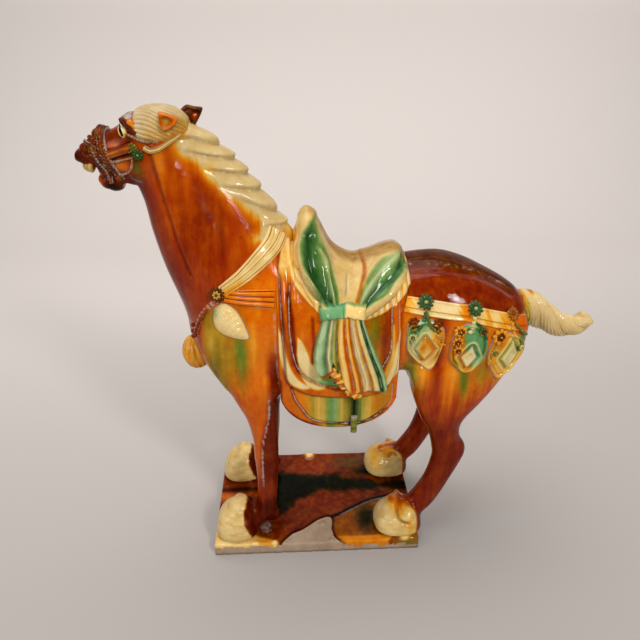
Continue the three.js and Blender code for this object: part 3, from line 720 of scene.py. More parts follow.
def fold_lift(x, z):
    """The gathers that run into the knot: lens-shaped hollows with a ridge between."""
    front, rear = fold_edges(x, z)
    lift = -0.75 * smooth(front, 0, 0.9) - 0.6 * smooth(rear, 0, 0.9)
    for line, height, width in FOLD_LINES:
        lift = lift + height * stroke(x, z, line, width)
    return lift


def panel_edges(x, z):
    """Distances inside the upper panel, its field and the lower panel."""
    upper = inside(x, z, UPPER_PANEL, trace(17.2, 70, -7.3, 70))
    field = inside(x, z, FIELD_LINE, trace(15.7, 70, -5.3, 70))
    return upper, field, inside(x, z, LOWER_PANEL, trace(16.5, 60, -5.4, 60))


def skirt_ribs(x, z):
    """The fine folds of the skirt run beside the front edge of the cover."""
    away, _ = line_distance(x, z, COVER_FRONT)
    return away, np.cos(away * 5.2)


def saddlery_relief(x, z):
    upper, field, lower = panel_edges(x, z)
    lift = 0.5 * smooth(upper, -0.1, 0.35) - 0.3 * smooth(field, 0, 0.45)
    lift = lift - 0.22 * smooth(lower, -0.1, 0.3) * (1 - smooth(upper, -0.1, 0.2))
    # The raised lip between the two upper lines is rolled.
    lift = lift + 0.18 * smooth(upper, 0, 0.8) * (1 - smooth(field, -0.7, 0.1))
    for line, depth in PANEL_LINES:
        lift = lift - depth * stroke(x, z, line, 0.24)
    cloth, skirt = cover_mask(x, z), skirt_mask(x, z)
    away, ribs = skirt_ribs(x, z)
    ribs = 0.1 * ribs * smooth(away, 0.2, 0.5) * skirt * (1 - cloth)
    lift = lift * (1 - skirt) + 0.55 * skirt + ribs
    return lift + cloth * (0.3 + fold_lift(x, z))


def saddlery_grid(columns, near_rows, far_rows):
    """Base points of the saddlery, from the foot of the near flap to the foot of the far one."""
    x = np.linspace(FLAP_FRONT - 0.1, 19.6, columns)
    top, foot = ridge_height(x), flap_foot(x)
    # Each column is first drawn densely, closest near the top, where the arch turns over.
    down = np.linspace(0, 1, 240)[:, None] ** 1.7
    z = top - (top - foot) * down
    wide_x = np.broadcast_to(x, z.shape)
    skin = body.face(wide_x, z, FAR)
    arch = saddle_arch(z, np.broadcast_to(top, z.shape))
    hung = soft_low(flap_face(wide_x, z), arch, 1.2)
    base = -soft_low(-hung, -(skin + 0.3) * (z > 36), 0.5)
    cloth = cover_mask(wide_x, z)
    outer = base + cloth * np.maximum(arch - base, 0) * (z > SADDLE_FOOT)
    # In front of and behind the outline the surface dives under the horse's skin.
    front = np.interp(z, [66, 75], [-8.2, -6.4])
    back = np.interp(z, [61, 64.5], [18, 19.5])
    kept = smooth(np.minimum(wide_x - front, back - wide_x), -0.25, 0.35)
    outer = outer * kept + (np.minimum(skin, outer) - 0.9) * (1 - kept)
    outer = np.clip(outer, 0, None)
    outer[0] = 0
    length = np.hypot(np.diff(outer, axis=0), np.diff(z, axis=0)).cumsum(0)
    length = np.vstack([np.zeros(columns), length])
    sides = []
    for side, rows in ((NEAR, near_rows), (FAR, far_rows)):
        share = np.linspace(0, 1, rows)
        even = np.empty((rows, columns, 3))
        even[..., 0] = x
        for c in range(columns):
            place = share * length[-1, c]
            even[:, c, 1] = side * np.interp(place, length[:, c], outer[:, c])
            even[:, c, 2] = np.interp(place, length[:, c], z[:, c])
        sides.append(even)
    near, far = sides
    return np.concatenate([near[::-1], far[1:]])


def grid_normals(grid):
    n = np.cross(np.gradient(grid, axis=0), np.gradient(grid, axis=1))
    return n / np.maximum(np.linalg.norm(n, axis=2, keepdims=True), 1e-9)


def press_saddlery():
    grid = saddlery_grid(columns=120, near_rows=166, far_rows=76)
    x, y, z = np.moveaxis(grid, 2, 0)
    normal = grid_normals(grid)
    if normal[len(grid) // 2, :, 2].mean() < 0:
        normal = -normal
    # The free edge of the flap is rounded over.
    edge = np.minimum(z - flap_foot(x), np.minimum(x - FLAP_FRONT, FLAP_BACK - x) * 1.5)
    rounding = np.where(z < FLAP_TOP, 0.7 * (1 - smooth(edge, -0.2, 1)) ** 2, 0)
    face = grid + normal * (saddlery_relief(x, z) - rounding)[..., None]
    inner = np.maximum(flap_face(x, z) - FLAP_THICKNESS, 1)
    inner = np.sign(y) * np.minimum(np.abs(y) * 0.8, inner)
    return face, np.stack([x, inner, np.minimum(z, 59) + 0.5], -1), grid


saddle_face, saddle_back, saddle_base = press_saddlery()
body.cord(MANE, 1.4)
print("saddlery grid", saddle_face.shape)

# %% [markdown]
# ## The sash and its knot
#
# The ends of the cover are drawn together under a flat band and hang in pleats, whose hem
# turns back on itself. The pleats are a grid that fans out from the band: each is a round
# ridge between two narrow valleys, and the hem is a line of its own.

# %% The pleated sash and the band of the knot
SASH_LEFT = trace(1.4, 61.2, 1.1, 59.5, 0, 55.8, -0.7, 52.3, -0.6, 49.8)
SASH_RIGHT = trace(9.6, 61.2, 10, 59, 11.3, 55.4, 12.9, 51.4, 14.5, 47.5, 15.3, 44.4)
SASH_TOP = 61.3
# Shares of the way across: the valleys between the pleats, and the height of the hem.
PLEAT_VALLEYS = np.array([0, 0.2, 0.285, 0.37, 0.54, 0.65, 0.78, 0.91, 1])
HEM = trace(
    0, 49.8, 0.05, 48.5, 0.12, 48, 0.2, 48.3, 0.26, 49.2, 0.295, 50.8, 0.34, 49.6, 0.38, 46.4, 0.43, 44.9,
    0.49, 43.2, 0.55, 42.5, 0.6, 43.5, 0.66, 43.1, 0.72, 43.9, 0.78, 43.2, 0.85, 43.6, 0.91, 42.6, 0.96, 43,
    1, 44.4
)


def pleat_height(share):
    """Round ridges between the valleys, 0 in a valley and highest on a wide ridge."""
    i = np.clip(np.searchsorted(PLEAT_VALLEYS, share, side="right") - 1, 0, len(PLEAT_VALLEYS) - 2)
    width = PLEAT_VALLEYS[i + 1] - PLEAT_VALLEYS[i]
    local = (share - PLEAT_VALLEYS[i]) / width
    return np.sin(np.pi * np.clip(local, 0, 1)) ** 0.75 * (0.55 + 2.8 * width)


def press_sash(side, columns, rows):
    """The pleats that fan out from the band down to the hem, which rolls back under."""
    down, share = lattice(rows, columns, 0)
    z = SASH_TOP + (np.interp(share, *HEM.T) - SASH_TOP) * down
    left, right = x_at(z, SASH_LEFT), x_at(z, SASH_RIGHT)
    x = left + (right - left) * share
    ridge = pleat_height(share) * (0.45 + 0.65 * down)
    fine = 0.07 * np.sin(share * 75 + 3 * wobble(down * 2, 4)) * (1 - 0.5 * down)
    roll = np.clip(down - 0.93, 0, 1) / 0.07
    rim = 1 - smooth(np.minimum(share, 1 - share), 0, 0.03)
    lift = 1 + ridge + fine - 1.3 * roll**3 - 0.9 * rim**2 + 0.25 * smooth(down, 0.8, 0.93)
    under = flap_face(x, z)
    face, back = (np.stack([x, side * y, z], -1) for y in (under + lift, under - 0.6))
    return face, back, share, down


def press_knot(side, columns, rows):
    """The flat band that gathers the cover, pinched by the folds that run into it."""
    b, a = lattice(rows, columns)
    x = 5.4 + a * (4.75 + 0.15 * b)
    z = 61.6 + 1.35 * b + 0.25 * np.cos(2.2 * a) - 0.12 * wobble(3 * a, 2) * np.abs(b)
    swell = (1 - np.abs(a) ** 6) * (1 - np.abs(b) ** 4)
    pinch = 0.16 * np.cos(14 * a) * smooth(np.abs(b), 0.5, 1)
    under = saddle_arch(z, 72)
    y = under - 0.1 + 1.75 * swell**0.5 + pinch - 0.35 * (np.abs(a - 0.04) < 0.03)
    face, back = (np.stack([x, side * out, z], -1) for out in (y, under - 2))
    return face, back, a, b


# %% [markdown]
# ## Straps, flowers and pendants
#
# Harness was pressed in small moulds and laid on the damp body. A strap is a ribbon that
# follows a line on the skin; its grid is settled on the field of distances and then lifted
# by its own profile of ribs. Flowers, leaves and the shell are discs with their own relief.

# %% Ribbons and discs that lie on the skin
def path_on(clay, line, side, count):
    """A line drawn in the side view laid on the skin, evenly spaced, and its length."""
    dense = bend(line, 40)
    points = np.stack([dense[:, 0], clay.face(*dense.T, side), dense[:, 1]], 1)
    steps = np.linalg.norm(np.diff(points, axis=0), axis=1)
    length = np.concatenate([[0], steps.cumsum()])
    even = np.linspace(0, length[-1], count)
    spaced = np.stack([np.interp(even, length, points[:, k]) for k in range(3)], 1)
    return clay.settle(spaced), length[-1]


def ribbon(clay, line, side, width, profile, count, across=13, sink=0.7):
    """A strap: profile gives the lift from places along (0-1) and across (-1 to 1)."""
    middle, _ = path_on(clay, line, side, count)
    sideways = np.cross(clay.slope(middle), np.gradient(middle, axis=0))
    sideways /= np.linalg.norm(sideways, axis=1, keepdims=True)
    if sideways[:, 2].mean() < 0:
        sideways = -sideways
    s, t = np.meshgrid(np.linspace(0, 1, count), np.linspace(-1, 1, across), indexing="ij")
    half = np.linspace(*np.broadcast_to(width, 2), count)[:, None, None] / 2
    flat, normals = clay.lie(middle[:, None] + sideways[:, None] * t[..., None] * half)
    return flat + normals * profile(s, t)[..., None], flat - normals * sink, s, t


def laid_disc(clay, x, z, side, lift):
    """A sheet over points given in the side view, lifted square to the skin."""
    flat, normals = clay.lie(np.stack([x, clay.face(x, z, side), z], -1))
    return flat + normals * lift[..., None], flat - normals * 0.8


def join(solids):
    """Several closed skins as one set of points, quads and marks."""
    points, quads, marks, start = [], [], {}, 0
    for p, q, fields in solids:
        points.append(p)
        quads.append(q + start)
        start += len(p)
        for name, values in fields.items():
            marks.setdefault(name, []).append(values)
    return np.vstack(points), np.vstack(quads), {name: np.hstack(parts) for name, parts in marks.items()}


def gather(sheets):
    """Several pairs of grids as one set of points, quads and marks."""
    solids = []
    for face, back, fields in sheets:
        both = {name: np.tile(values.ravel(), 2) for name, values in fields.items()}
        solids.append((*shell(face, back), both))
    return join(solids)


def dome(radius):
    """The height of half a ball over its radius."""
    return np.sqrt(np.clip(1 - radius**2, 0, 1))


def outlined(outline, count):
    """A disc grid stretched to a closed outline: x, z and the share of the way out."""
    radius, angle = disc(count)
    ring = bend(np.vstack([outline, outline[:1]]), 8)
    middle = ring[:-1].mean(0)
    away = ring - middle
    turn = np.arctan2(away[:, 1], away[:, 0])
    order = np.argsort(turn)
    reach = np.interp(angle, turn[order], np.hypot(*away.T)[order], period=2 * math.pi)
    x = middle[0] + radius * reach * np.cos(angle)
    z = middle[1] + radius * reach * np.sin(angle)
    return x, z, radius


# %% Lines of the harness, each set out in the side view
COLLAR = trace(-7.4, 75.6, -8.6, 73.4, -11.4, 70.9, -14.6, 68.2, -17.6, 66, -20, 64.2)
BREAST = trace(-8.4, 63.4, -11.5, 63.6, -15, 63.8, -18.4, 64.2)
CHEST = trace(-20, 63.2, -22.6, 60.6, -24.4, 57.4, -25.6, 54)
CRUPPER = trace(18.6, 61.9, 24.2, 61.2, 28.4, 60.6, 31.6, 60.1, 36, 58.8, 41.5, 57, 46, 55.2)
SHELL = trace(
    -21.1, 61.2, -21.4, 58.3, -20.4, 56.3, -17.8, 55.2, -13.9, 55, -14.4, 57.7, -15.6, 60.3, -16.8, 61.7,
    -18.8, 62.7
)
FIRST_PENDANT = trace(
    18.8, 58.4, 18.7, 55.7, 19, 52.2, 20.3, 50, 22.2, 47.9, 24.4, 46.3, 26.1, 47.7, 26.8, 51.4, 27.1, 55.5,
    26.2, 58, 23.2, 59.4
)
SECOND_PENDANT = trace(
    29.2, 57.4, 28.4, 54.3, 28.5, 49.4, 29.9, 46.9, 32.2, 45.8, 34.7, 47.1, 36.4, 50, 36.3, 54.4, 35.4, 57,
    32.4, 58.4
)
THIRD_PENDANT = trace(
    37.4, 54.4, 36.4, 50.9, 37, 47.9, 38.2, 45.4, 39.8, 43.4, 42.6, 45.4, 45, 48, 45.8, 50.4, 44.6, 53.2,
    41.2, 55.2
)


def tube(centre, radius, across, relief):
    """A closed cord through centre points; relief scales its radius by place along and angle."""
    n = len(centre)
    ahead = np.gradient(centre, axis=0)
    ahead /= np.linalg.norm(ahead, axis=1, keepdims=True)
    side = np.cross(ahead, np.array([0, 0, 1]))
    side /= np.maximum(np.linalg.norm(side, axis=1, keepdims=True), 1e-9)
    up = np.cross(side, ahead)
    turns = np.linspace(0, 2 * math.pi, across, endpoint=False)
    s, angle = np.meshgrid(np.linspace(0, 1, n), turns, indexing="ij")
    ring = side[:, None] * np.cos(angle)[..., None] + up[:, None] * np.sin(angle)[..., None]
    points = centre[:, None] + ring * (radius[:, None] * relief(s, angle))[..., None]
    index = np.arange(n * across).reshape(n, across)
    turned = np.roll(index, -1, axis=1)
    quads = [np.stack([index[:-1], turned[:-1], turned[1:], index[1:]], -1).reshape(-1, 4)]
    k = np.arange(across // 2 - 1)
    for row, flip in ((index[0], 1), (index[-1], -1)):
        lid = np.stack([row[k], row[across - 1 - k], row[across - 2 - k], row[k + 1]], -1)
        quads.append(lid[:, ::flip])
    return *outward(points.reshape(-1, 3), np.concatenate(quads)), s.ravel()


def round_ends(count, sharpness):
    """The share of its radius that a cord keeps at each point, rounded off at both ends."""
    end = np.clip(np.abs(np.linspace(-1, 1, count)) * sharpness - (sharpness - 1), 0, 0.97)
    return np.sqrt(1 - end**2)


# %% [markdown]
# ## Lead glazes over a cream slip
#
# The figure was dipped in a clear slip and then dabbed with iron (amber) and copper (green)
# glazes, which melted, ran down and pooled. A glaze is coloured glass: the more of it light
# passes through, the more it takes. So every piece carries soft fields that say how much
# amber, green and dark glaze lies on it, and one node group turns these thicknesses into a
# colour, thicker in hollows and in runs, thinner on edges.

# %% Building node trees in few words
def wire(tree, kind, inputs=(), output=0, **settings):
    """Adds a node, feeds its inputs by place or by name, and gives one of its outputs."""
    made = tree.nodes.new(kind)
    for name, value in settings.items():
        setattr(made, name, value)
    for place, value in inputs.items() if isinstance(inputs, dict) else enumerate(inputs):
        if isinstance(value, bpy.types.NodeSocket):
            tree.links.new(value, made.inputs[place])
        elif value is not None:
            made.inputs[place].default_value = value
    return made.outputs[output]


def calc(tree, operation, *values):
    return wire(tree, "ShaderNodeMath", values, operation=operation)


def vector(tree, operation, *values):
    return wire(tree, "ShaderNodeVectorMath", values, operation=operation)


def step_between(tree, value, low, high, start=0, end=1):
    places = {"Value": value, "From Min": low, "From Max": high, "To Min": start, "To Max": end}
    return wire(tree, "ShaderNodeMapRange", places, interpolation_type="SMOOTHSTEP")


def noise(tree, place, scale, detail=2, roughness=0.5):
    places = {"Vector": place, "Scale": scale, "Detail": detail, "Roughness": roughness}
    return wire(tree, "ShaderNodeTexNoise", places)


def blend(tree, share, low, high):
    return wire(tree, "ShaderNodeMix", {0: share, 6: low, 7: high}, output=2, data_type="RGBA")


def new_group(name, floats, colours):
    tree = bpy.data.node_groups.new(name, "ShaderNodeTree")
    tree.interface.new_socket("Place", in_out="INPUT", socket_type="NodeSocketVector")
    for label in floats:
        tree.interface.new_socket(label, in_out="INPUT", socket_type="NodeSocketFloat")
    for label in colours:
        tree.interface.new_socket(label, in_out="OUTPUT", socket_type="NodeSocketColor")
    tree.interface.new_socket("Height", in_out="OUTPUT", socket_type="NodeSocketFloat")
    return tree, tree.nodes.new("NodeGroupInput").outputs, tree.nodes.new("NodeGroupOutput").inputs


# %% The glaze group: thicknesses in, colour out
# The slip under the glaze, at its palest and at its warmest.
SLIP = (0.70, 0.59, 0.39)
SLIP_WARM = (0.64, 0.51, 0.31)
# How much of red, green and blue a glaze of thickness 1 takes away.
TAKEN = {"Amber": (0.11, 1.15, 4.5), "Green": (2.3, 0.85, 1.25), "Dark": (1.7, 1.8, 1.7)}
RUN_SCALE = (170, 170, 20)
GLOSSY, MATT = 0.13, 0.82


def glaze_group():
    tree, given, out = new_group("glaze over slip", ("Amber", "Green", "Dark", "Hollow"), ("Colour",))
    place = given["Place"]
    runs = noise(tree, vector(tree, "MULTIPLY", place, RUN_SCALE), 1, 3, 0.55)
    mottle = noise(tree, place, 95, 4, 0.62)
    grain = noise(tree, place, 1300, 2, 0.6)
    specks = step_between(tree, grain, 0.64, 0.72)
    freckles = step_between(tree, noise(tree, place, 420, 2), 0.66, 0.74)
    thick = calc(tree, "MULTIPLY_ADD", runs, 0.8, 0.35)
    thick = calc(tree, "MULTIPLY_ADD", mottle, 0.5, thick)
    thick = calc(tree, "MULTIPLY_ADD", given["Hollow"], 0.45, thick)
    thick = calc(tree, "MAXIMUM", thick, 0.12)
    # Every crease is made darker grey, the more so the deeper it is.
    crease_darkening = calc(tree, "MULTIPLY", calc(tree, "MAXIMUM", given["Hollow"], 0), 0.32)
    total = None
    for name, taken in TAKEN.items():
        share = calc(tree, "MULTIPLY", given[name], thick)
        if name == "Dark":
            share = calc(tree, "ADD", share, crease_darkening)
        part = wire(tree, "ShaderNodeVectorMath", {0: taken, "Scale": share}, operation="SCALE")
        total = part if total is None else vector(tree, "ADD", total, part)
    # Iron specks burn through wherever there is glaze.
    strong = calc(tree, "MULTIPLY_ADD", given["Amber"], 0.5, 0.22)
    dots = calc(tree, "MULTIPLY", calc(tree, "MULTIPLY_ADD", specks, 0.8, freckles), strong)
    part = wire(tree, "ShaderNodeVectorMath", {0: (0.35, 0.6, 0.9), "Scale": dots}, operation="SCALE")
    total = vector(tree, "MULTIPLY", vector(tree, "ADD", total, part), (-1, -1, -1))
    channels = wire(tree, "ShaderNodeSeparateXYZ", [total]).node.outputs
    passed = wire(tree, "ShaderNodeCombineXYZ", [calc(tree, "EXPONENT", one) for one in channels])
    base = blend(tree, step_between(tree, mottle, 0.35, 0.7), (*SLIP, 1), (*SLIP_WARM, 1))
    tree.links.new(vector(tree, "MULTIPLY", passed, base), out["Colour"])
    peel = noise(tree, place, 330, 1.5)
    peel = calc(tree, "MULTIPLY_ADD", grain, 0.3, peel)
    tree.links.new(calc(tree, "MULTIPLY_ADD", mottle, 0.25, peel), out["Height"])
    return tree


# %% The clay group: bare buff clay and the grey lines where the glaze drew back
def clay_group():
    tree, given, out = new_group("bare clay", (), ("Colour",))
    place = given["Place"]
    mottle = noise(tree, place, 60, 5, 0.65)
    grit = noise(tree, place, 900, 3, 0.7)
    base = blend(tree, step_between(tree, mottle, 0.3, 0.7), (0.37, 0.27, 0.19, 1), (0.28, 0.195, 0.13, 1))
    base = blend(tree, step_between(tree, grit, 0.6, 0.75), base, (0.17, 0.12, 0.09, 1))
    tree.links.new(base, out["Colour"])
    tree.links.new(grit, out["Height"])
    return tree


glaze_nodes, clay_nodes = glaze_group(), clay_group()


def use_group(tree, group, **inputs):
    made = tree.nodes.new("ShaderNodeGroup")
    made.node_tree = group
    for name, value in inputs.items():
        tree.links.new(value, made.inputs[name])
    return made.outputs


def glazed(name):
    """A material that reads the marks of a piece."""
    finish = bpy.data.materials.new(name)
    finish.use_nodes = True
    tree = finish.node_tree
    skin = tree.nodes["Principled BSDF"]
    place = tree.nodes.new("ShaderNodeTexCoord").outputs["Object"]
    marks = {}
    for mark in ("amber", "green", "dark", "hollow", "line", "bare"):
        marks[mark] = wire(tree, "ShaderNodeAttribute", output=2, attribute_name=mark)
    layer = use_group(tree, glaze_nodes, Place=place, Amber=marks["amber"], Green=marks["green"],
                      Dark=marks["dark"], Hollow=marks["hollow"])
    clay = use_group(tree, clay_nodes, Place=place)
    # A thin line is broken by noise, as the glaze closes over it here and there.
    broken = calc(tree, "MULTIPLY_ADD", noise(tree, place, 260, 3), 0.9, -0.45)
    lined = step_between(tree, calc(tree, "ADD", marks["line"], broken), 0.25, 0.65)
    grey = blend(tree, noise(tree, place, 500), (0.22, 0.16, 0.13, 1), (0.40, 0.33, 0.29, 1))
    colour = blend(tree, lined, layer["Colour"], grey)
    ragged = calc(tree, "MULTIPLY_ADD", noise(tree, place, 190, 4), 0.5, -0.25)
    open_clay = step_between(tree, calc(tree, "ADD", marks["bare"], ragged), 0.42, 0.58)
    colour = blend(tree, open_clay, colour, clay["Colour"])
    tree.links.new(colour, skin.inputs["Base Color"])
    # Where iron lies thickest the glaze came out of the kiln dull.
    dull = step_between(tree, marks["dark"], 0.45, 1.3, 0, 0.55)
    matt = calc(tree, "MAXIMUM", calc(tree, "MULTIPLY", lined, 0.5), open_clay)
    matt = calc(tree, "MAXIMUM", matt, dull)
    tree.links.new(step_between(tree, matt, 0, 1, GLOSSY, MATT), skin.inputs["Roughness"])
    tree.links.new(calc(tree, "SUBTRACT", 1, matt), skin.inputs["Coat Weight"])
    for label, value in (("Coat Roughness", 0.03), ("Coat IOR", 1.27), ("Specular IOR Level", 0)):
        skin.inputs[label].default_value = value
    rough = wire(tree, "ShaderNodeMix", {0: open_clay, 2: layer["Height"], 3: clay["Height"]})
    surface = {"Strength": 0.2, "Distance": 0.0006, "Height": rough}
    peeled = wire(tree, "ShaderNodeBump", surface)
    tree.links.new(peeled, skin.inputs["Normal"])
    tree.links.new(peeled, skin.inputs["Coat Normal"])
    return finish


glaze = glazed("three colour glaze")
print("node groups", [group.name for group in bpy.data.node_groups])


# %% Laying glaze on a piece
class Coat:
    """Thicknesses of the glazes at the points of one piece."""

    def __init__(self, shape, amber=1, green=0, dark=0):
        start = {"amber": amber, "green": green, "dark": dark, "line": 0}
        self.marks = {name: np.full(shape, float(value)) for name, value in start.items()}

    def lay(self, mask, amber=0, green=0, dark=0):
        """Puts glaze over what is there, where mask is 1."""
        for name, value in (("amber", amber), ("green", green), ("dark", dark)):
            self.marks[name] = self.marks[name] * (1 - mask) + value * mask

    def add(self, mask, amber=0, green=0, dark=0):
        """Thickens what is there."""
        for name, value in (("amber", amber), ("green", green), ("dark", dark)):
            self.marks[name] = self.marks[name] + value * mask

    def dab(self, x, z, mask, *spots):
        """Lays soft spots: (share, middle x and z, reach across and down, amber, green, dark)."""
        for share, at_x, at_z, across, down, *tint in spots:
            self.lay(share * mask * spot(x, z, at_x, at_z, across, down), *tint)

    def bands(self, at, table, mask=1):
        """Lays glazes read off a table whose rows are (place, amber, green, dark)."""
        table = np.asarray(table)
        self.lay(mask, *(np.interp(at, table[:, 0], glazes) for glazes in table[:, 1:].T))

    def draw(self, mask):
        """Draws grey lines, where the glaze drew back."""
        self.marks["line"] = np.maximum(self.marks["line"], mask)


def runs(x, seed):
    """How far a glaze has run down at each place along, about 0."""
    return wobble(x * 1.7, seed) + 0.5 * wobble(x * 5.1, seed + 3)


def hollows(points, quads):
    """Bends of the skin at every point: 1 in a narrow hollow, -1 on a sharp edge."""
    ends = np.concatenate([quads[:, [0, 1]], quads[:, [1, 2]], quads[:, [2, 3]], quads[:, [3, 0]]])
    a, b = np.concatenate([ends, ends[:, ::-1]]).T
    number = np.maximum(np.bincount(a, minlength=len(points)), 1)

    def mean(values):
        return np.bincount(a, values[b], len(points)) / number

    normal = directions(points, quads)
    apart = np.stack([mean(points[:, k]) - points[:, k] for k in range(3)], 1)
    length = np.bincount(a, np.linalg.norm(points[a] - points[b], axis=1), len(points)) / number
    bend_of = np.einsum("ij,ij->i", apart, normal) / np.maximum(length, 0.02) ** 2
    for _ in range(3):
        bend_of = 0.5 * bend_of + 0.5 * mean(bend_of)
    return np.tanh(0.35 * bend_of)

# %% [markdown]
# ## Trunk, legs and hooves
#
# The body was pressed in two halves and luted together along the back and belly. Its few
# incised lines follow the muscles. The amber glaze is thick and dark along the croup, thin
# and orange on the shoulder and thigh, with olive and green runs that came down from the
# harness, and the hooves were left almost clear.

# %% Relief and glaze of the trunk and legs
CROUP_GROOVE = curve(19, 66.8, 21.2, 67.4, 25.4, 67.7, 29.4, 67.1, 34, 65.9, 38.6, 63.8, 42.8, 61)
CHEST_LINE = curve(-21, 52.8, -22.6, 49.4, -22.4, 47, -20.6, 44.4, -18.8, 41.7)
SHOULDER_LINE = curve(-15.2, 54.3, -16.6, 50, -17.2, 46.4, -16.6, 43, -15.4, 41)
FORELEG_LINE = curve(-10.4, 41, -10.6, 35.6, -11.4, 31, -12.4, 25.9, -12.8, 14)
GIRTH_LINE = trace(-8.6, 62, -8.5, 52, -8.2, 43.6)
FORE_CORONET = curve(-17, 12, -16.9, 8.6, -17.6, 7, -17.2, 4.6, -15.7, 0.7, -15.5, -1)
HIND_CORONET = curve(14, 10, 17.6, 7.2, 20.2, 7.4, 23.6, 6.8, 24.9, 4.4, 24.6, -1)

# Each lump round the pasterns: x, z, side of the horse and size.
HOOF_LUMPS = [
    [20.6, 5.8, -1, 1.3], [23.3, 3.6, -1, 1.2], [22, 4.8, 1, 1.1], [-19.2, 7.2, -1, 1.1],
    [-17, 4.4, -1, 0.8], [-19.4, 7.4, 1, 1.1]
]
# Each crease where a pastern was pressed on: x, z, side of the horse and radius.
PASTERN_CREASES = [[22.2, 6.4, -1, 2.6], [22, 4.8, 1, 1.5]]


def body_relief(p):
    x, z = p[:, 0], p[:, 2]
    flank = smooth(np.abs(p[:, 1]), 1.5, 3)
    lift = -0.42 * stroke(x, z, CROUP_GROOVE, 0.62)
    lift = lift + 0.2 * stroke(x, z + 1.1, CROUP_GROOVE, 0.8)
    for line, depth in ((CHEST_LINE, 0.3), (SHOULDER_LINE, 0.22), (FORELEG_LINE, 0.2), (GIRTH_LINE, 0.3)):
        lift = lift - depth * stroke(x, z, line, 0.42)
    # The edge of the fore hoof stands proud of the pastern in small scallops.
    away, along = line_distance(x, z, FORE_CORONET)
    scallop = 0.6 + 0.4 * np.cos(along * 46 + 2 * np.sin(along * 17))
    near_edge = bump(away, 0.3, 0.45) * (x < -15) * (z < 10.5)
    for at_x, at_z, side, size in HOOF_LUMPS:
        lift = lift + 0.7 * spot(x, z, at_x, at_z, size, size) * (p[:, 1] * side > 2)
    # Where the pastern was pressed on, a crease runs round it.
    for at_x, at_z, side, size in PASTERN_CREASES:
        ring = np.hypot(x - at_x, z - at_z) - size
        outer = (p[:, 1] * side > 7) * smooth(at_x + 1.2 - x + 0.5 * (at_z - z), 0, 1.5)
        lift = lift + outer * 0.5 * (bump(ring, -0.9, 0.55) - bump(ring, 0, 0.35))
    return lift * flank + 0.26 * scallop * near_edge


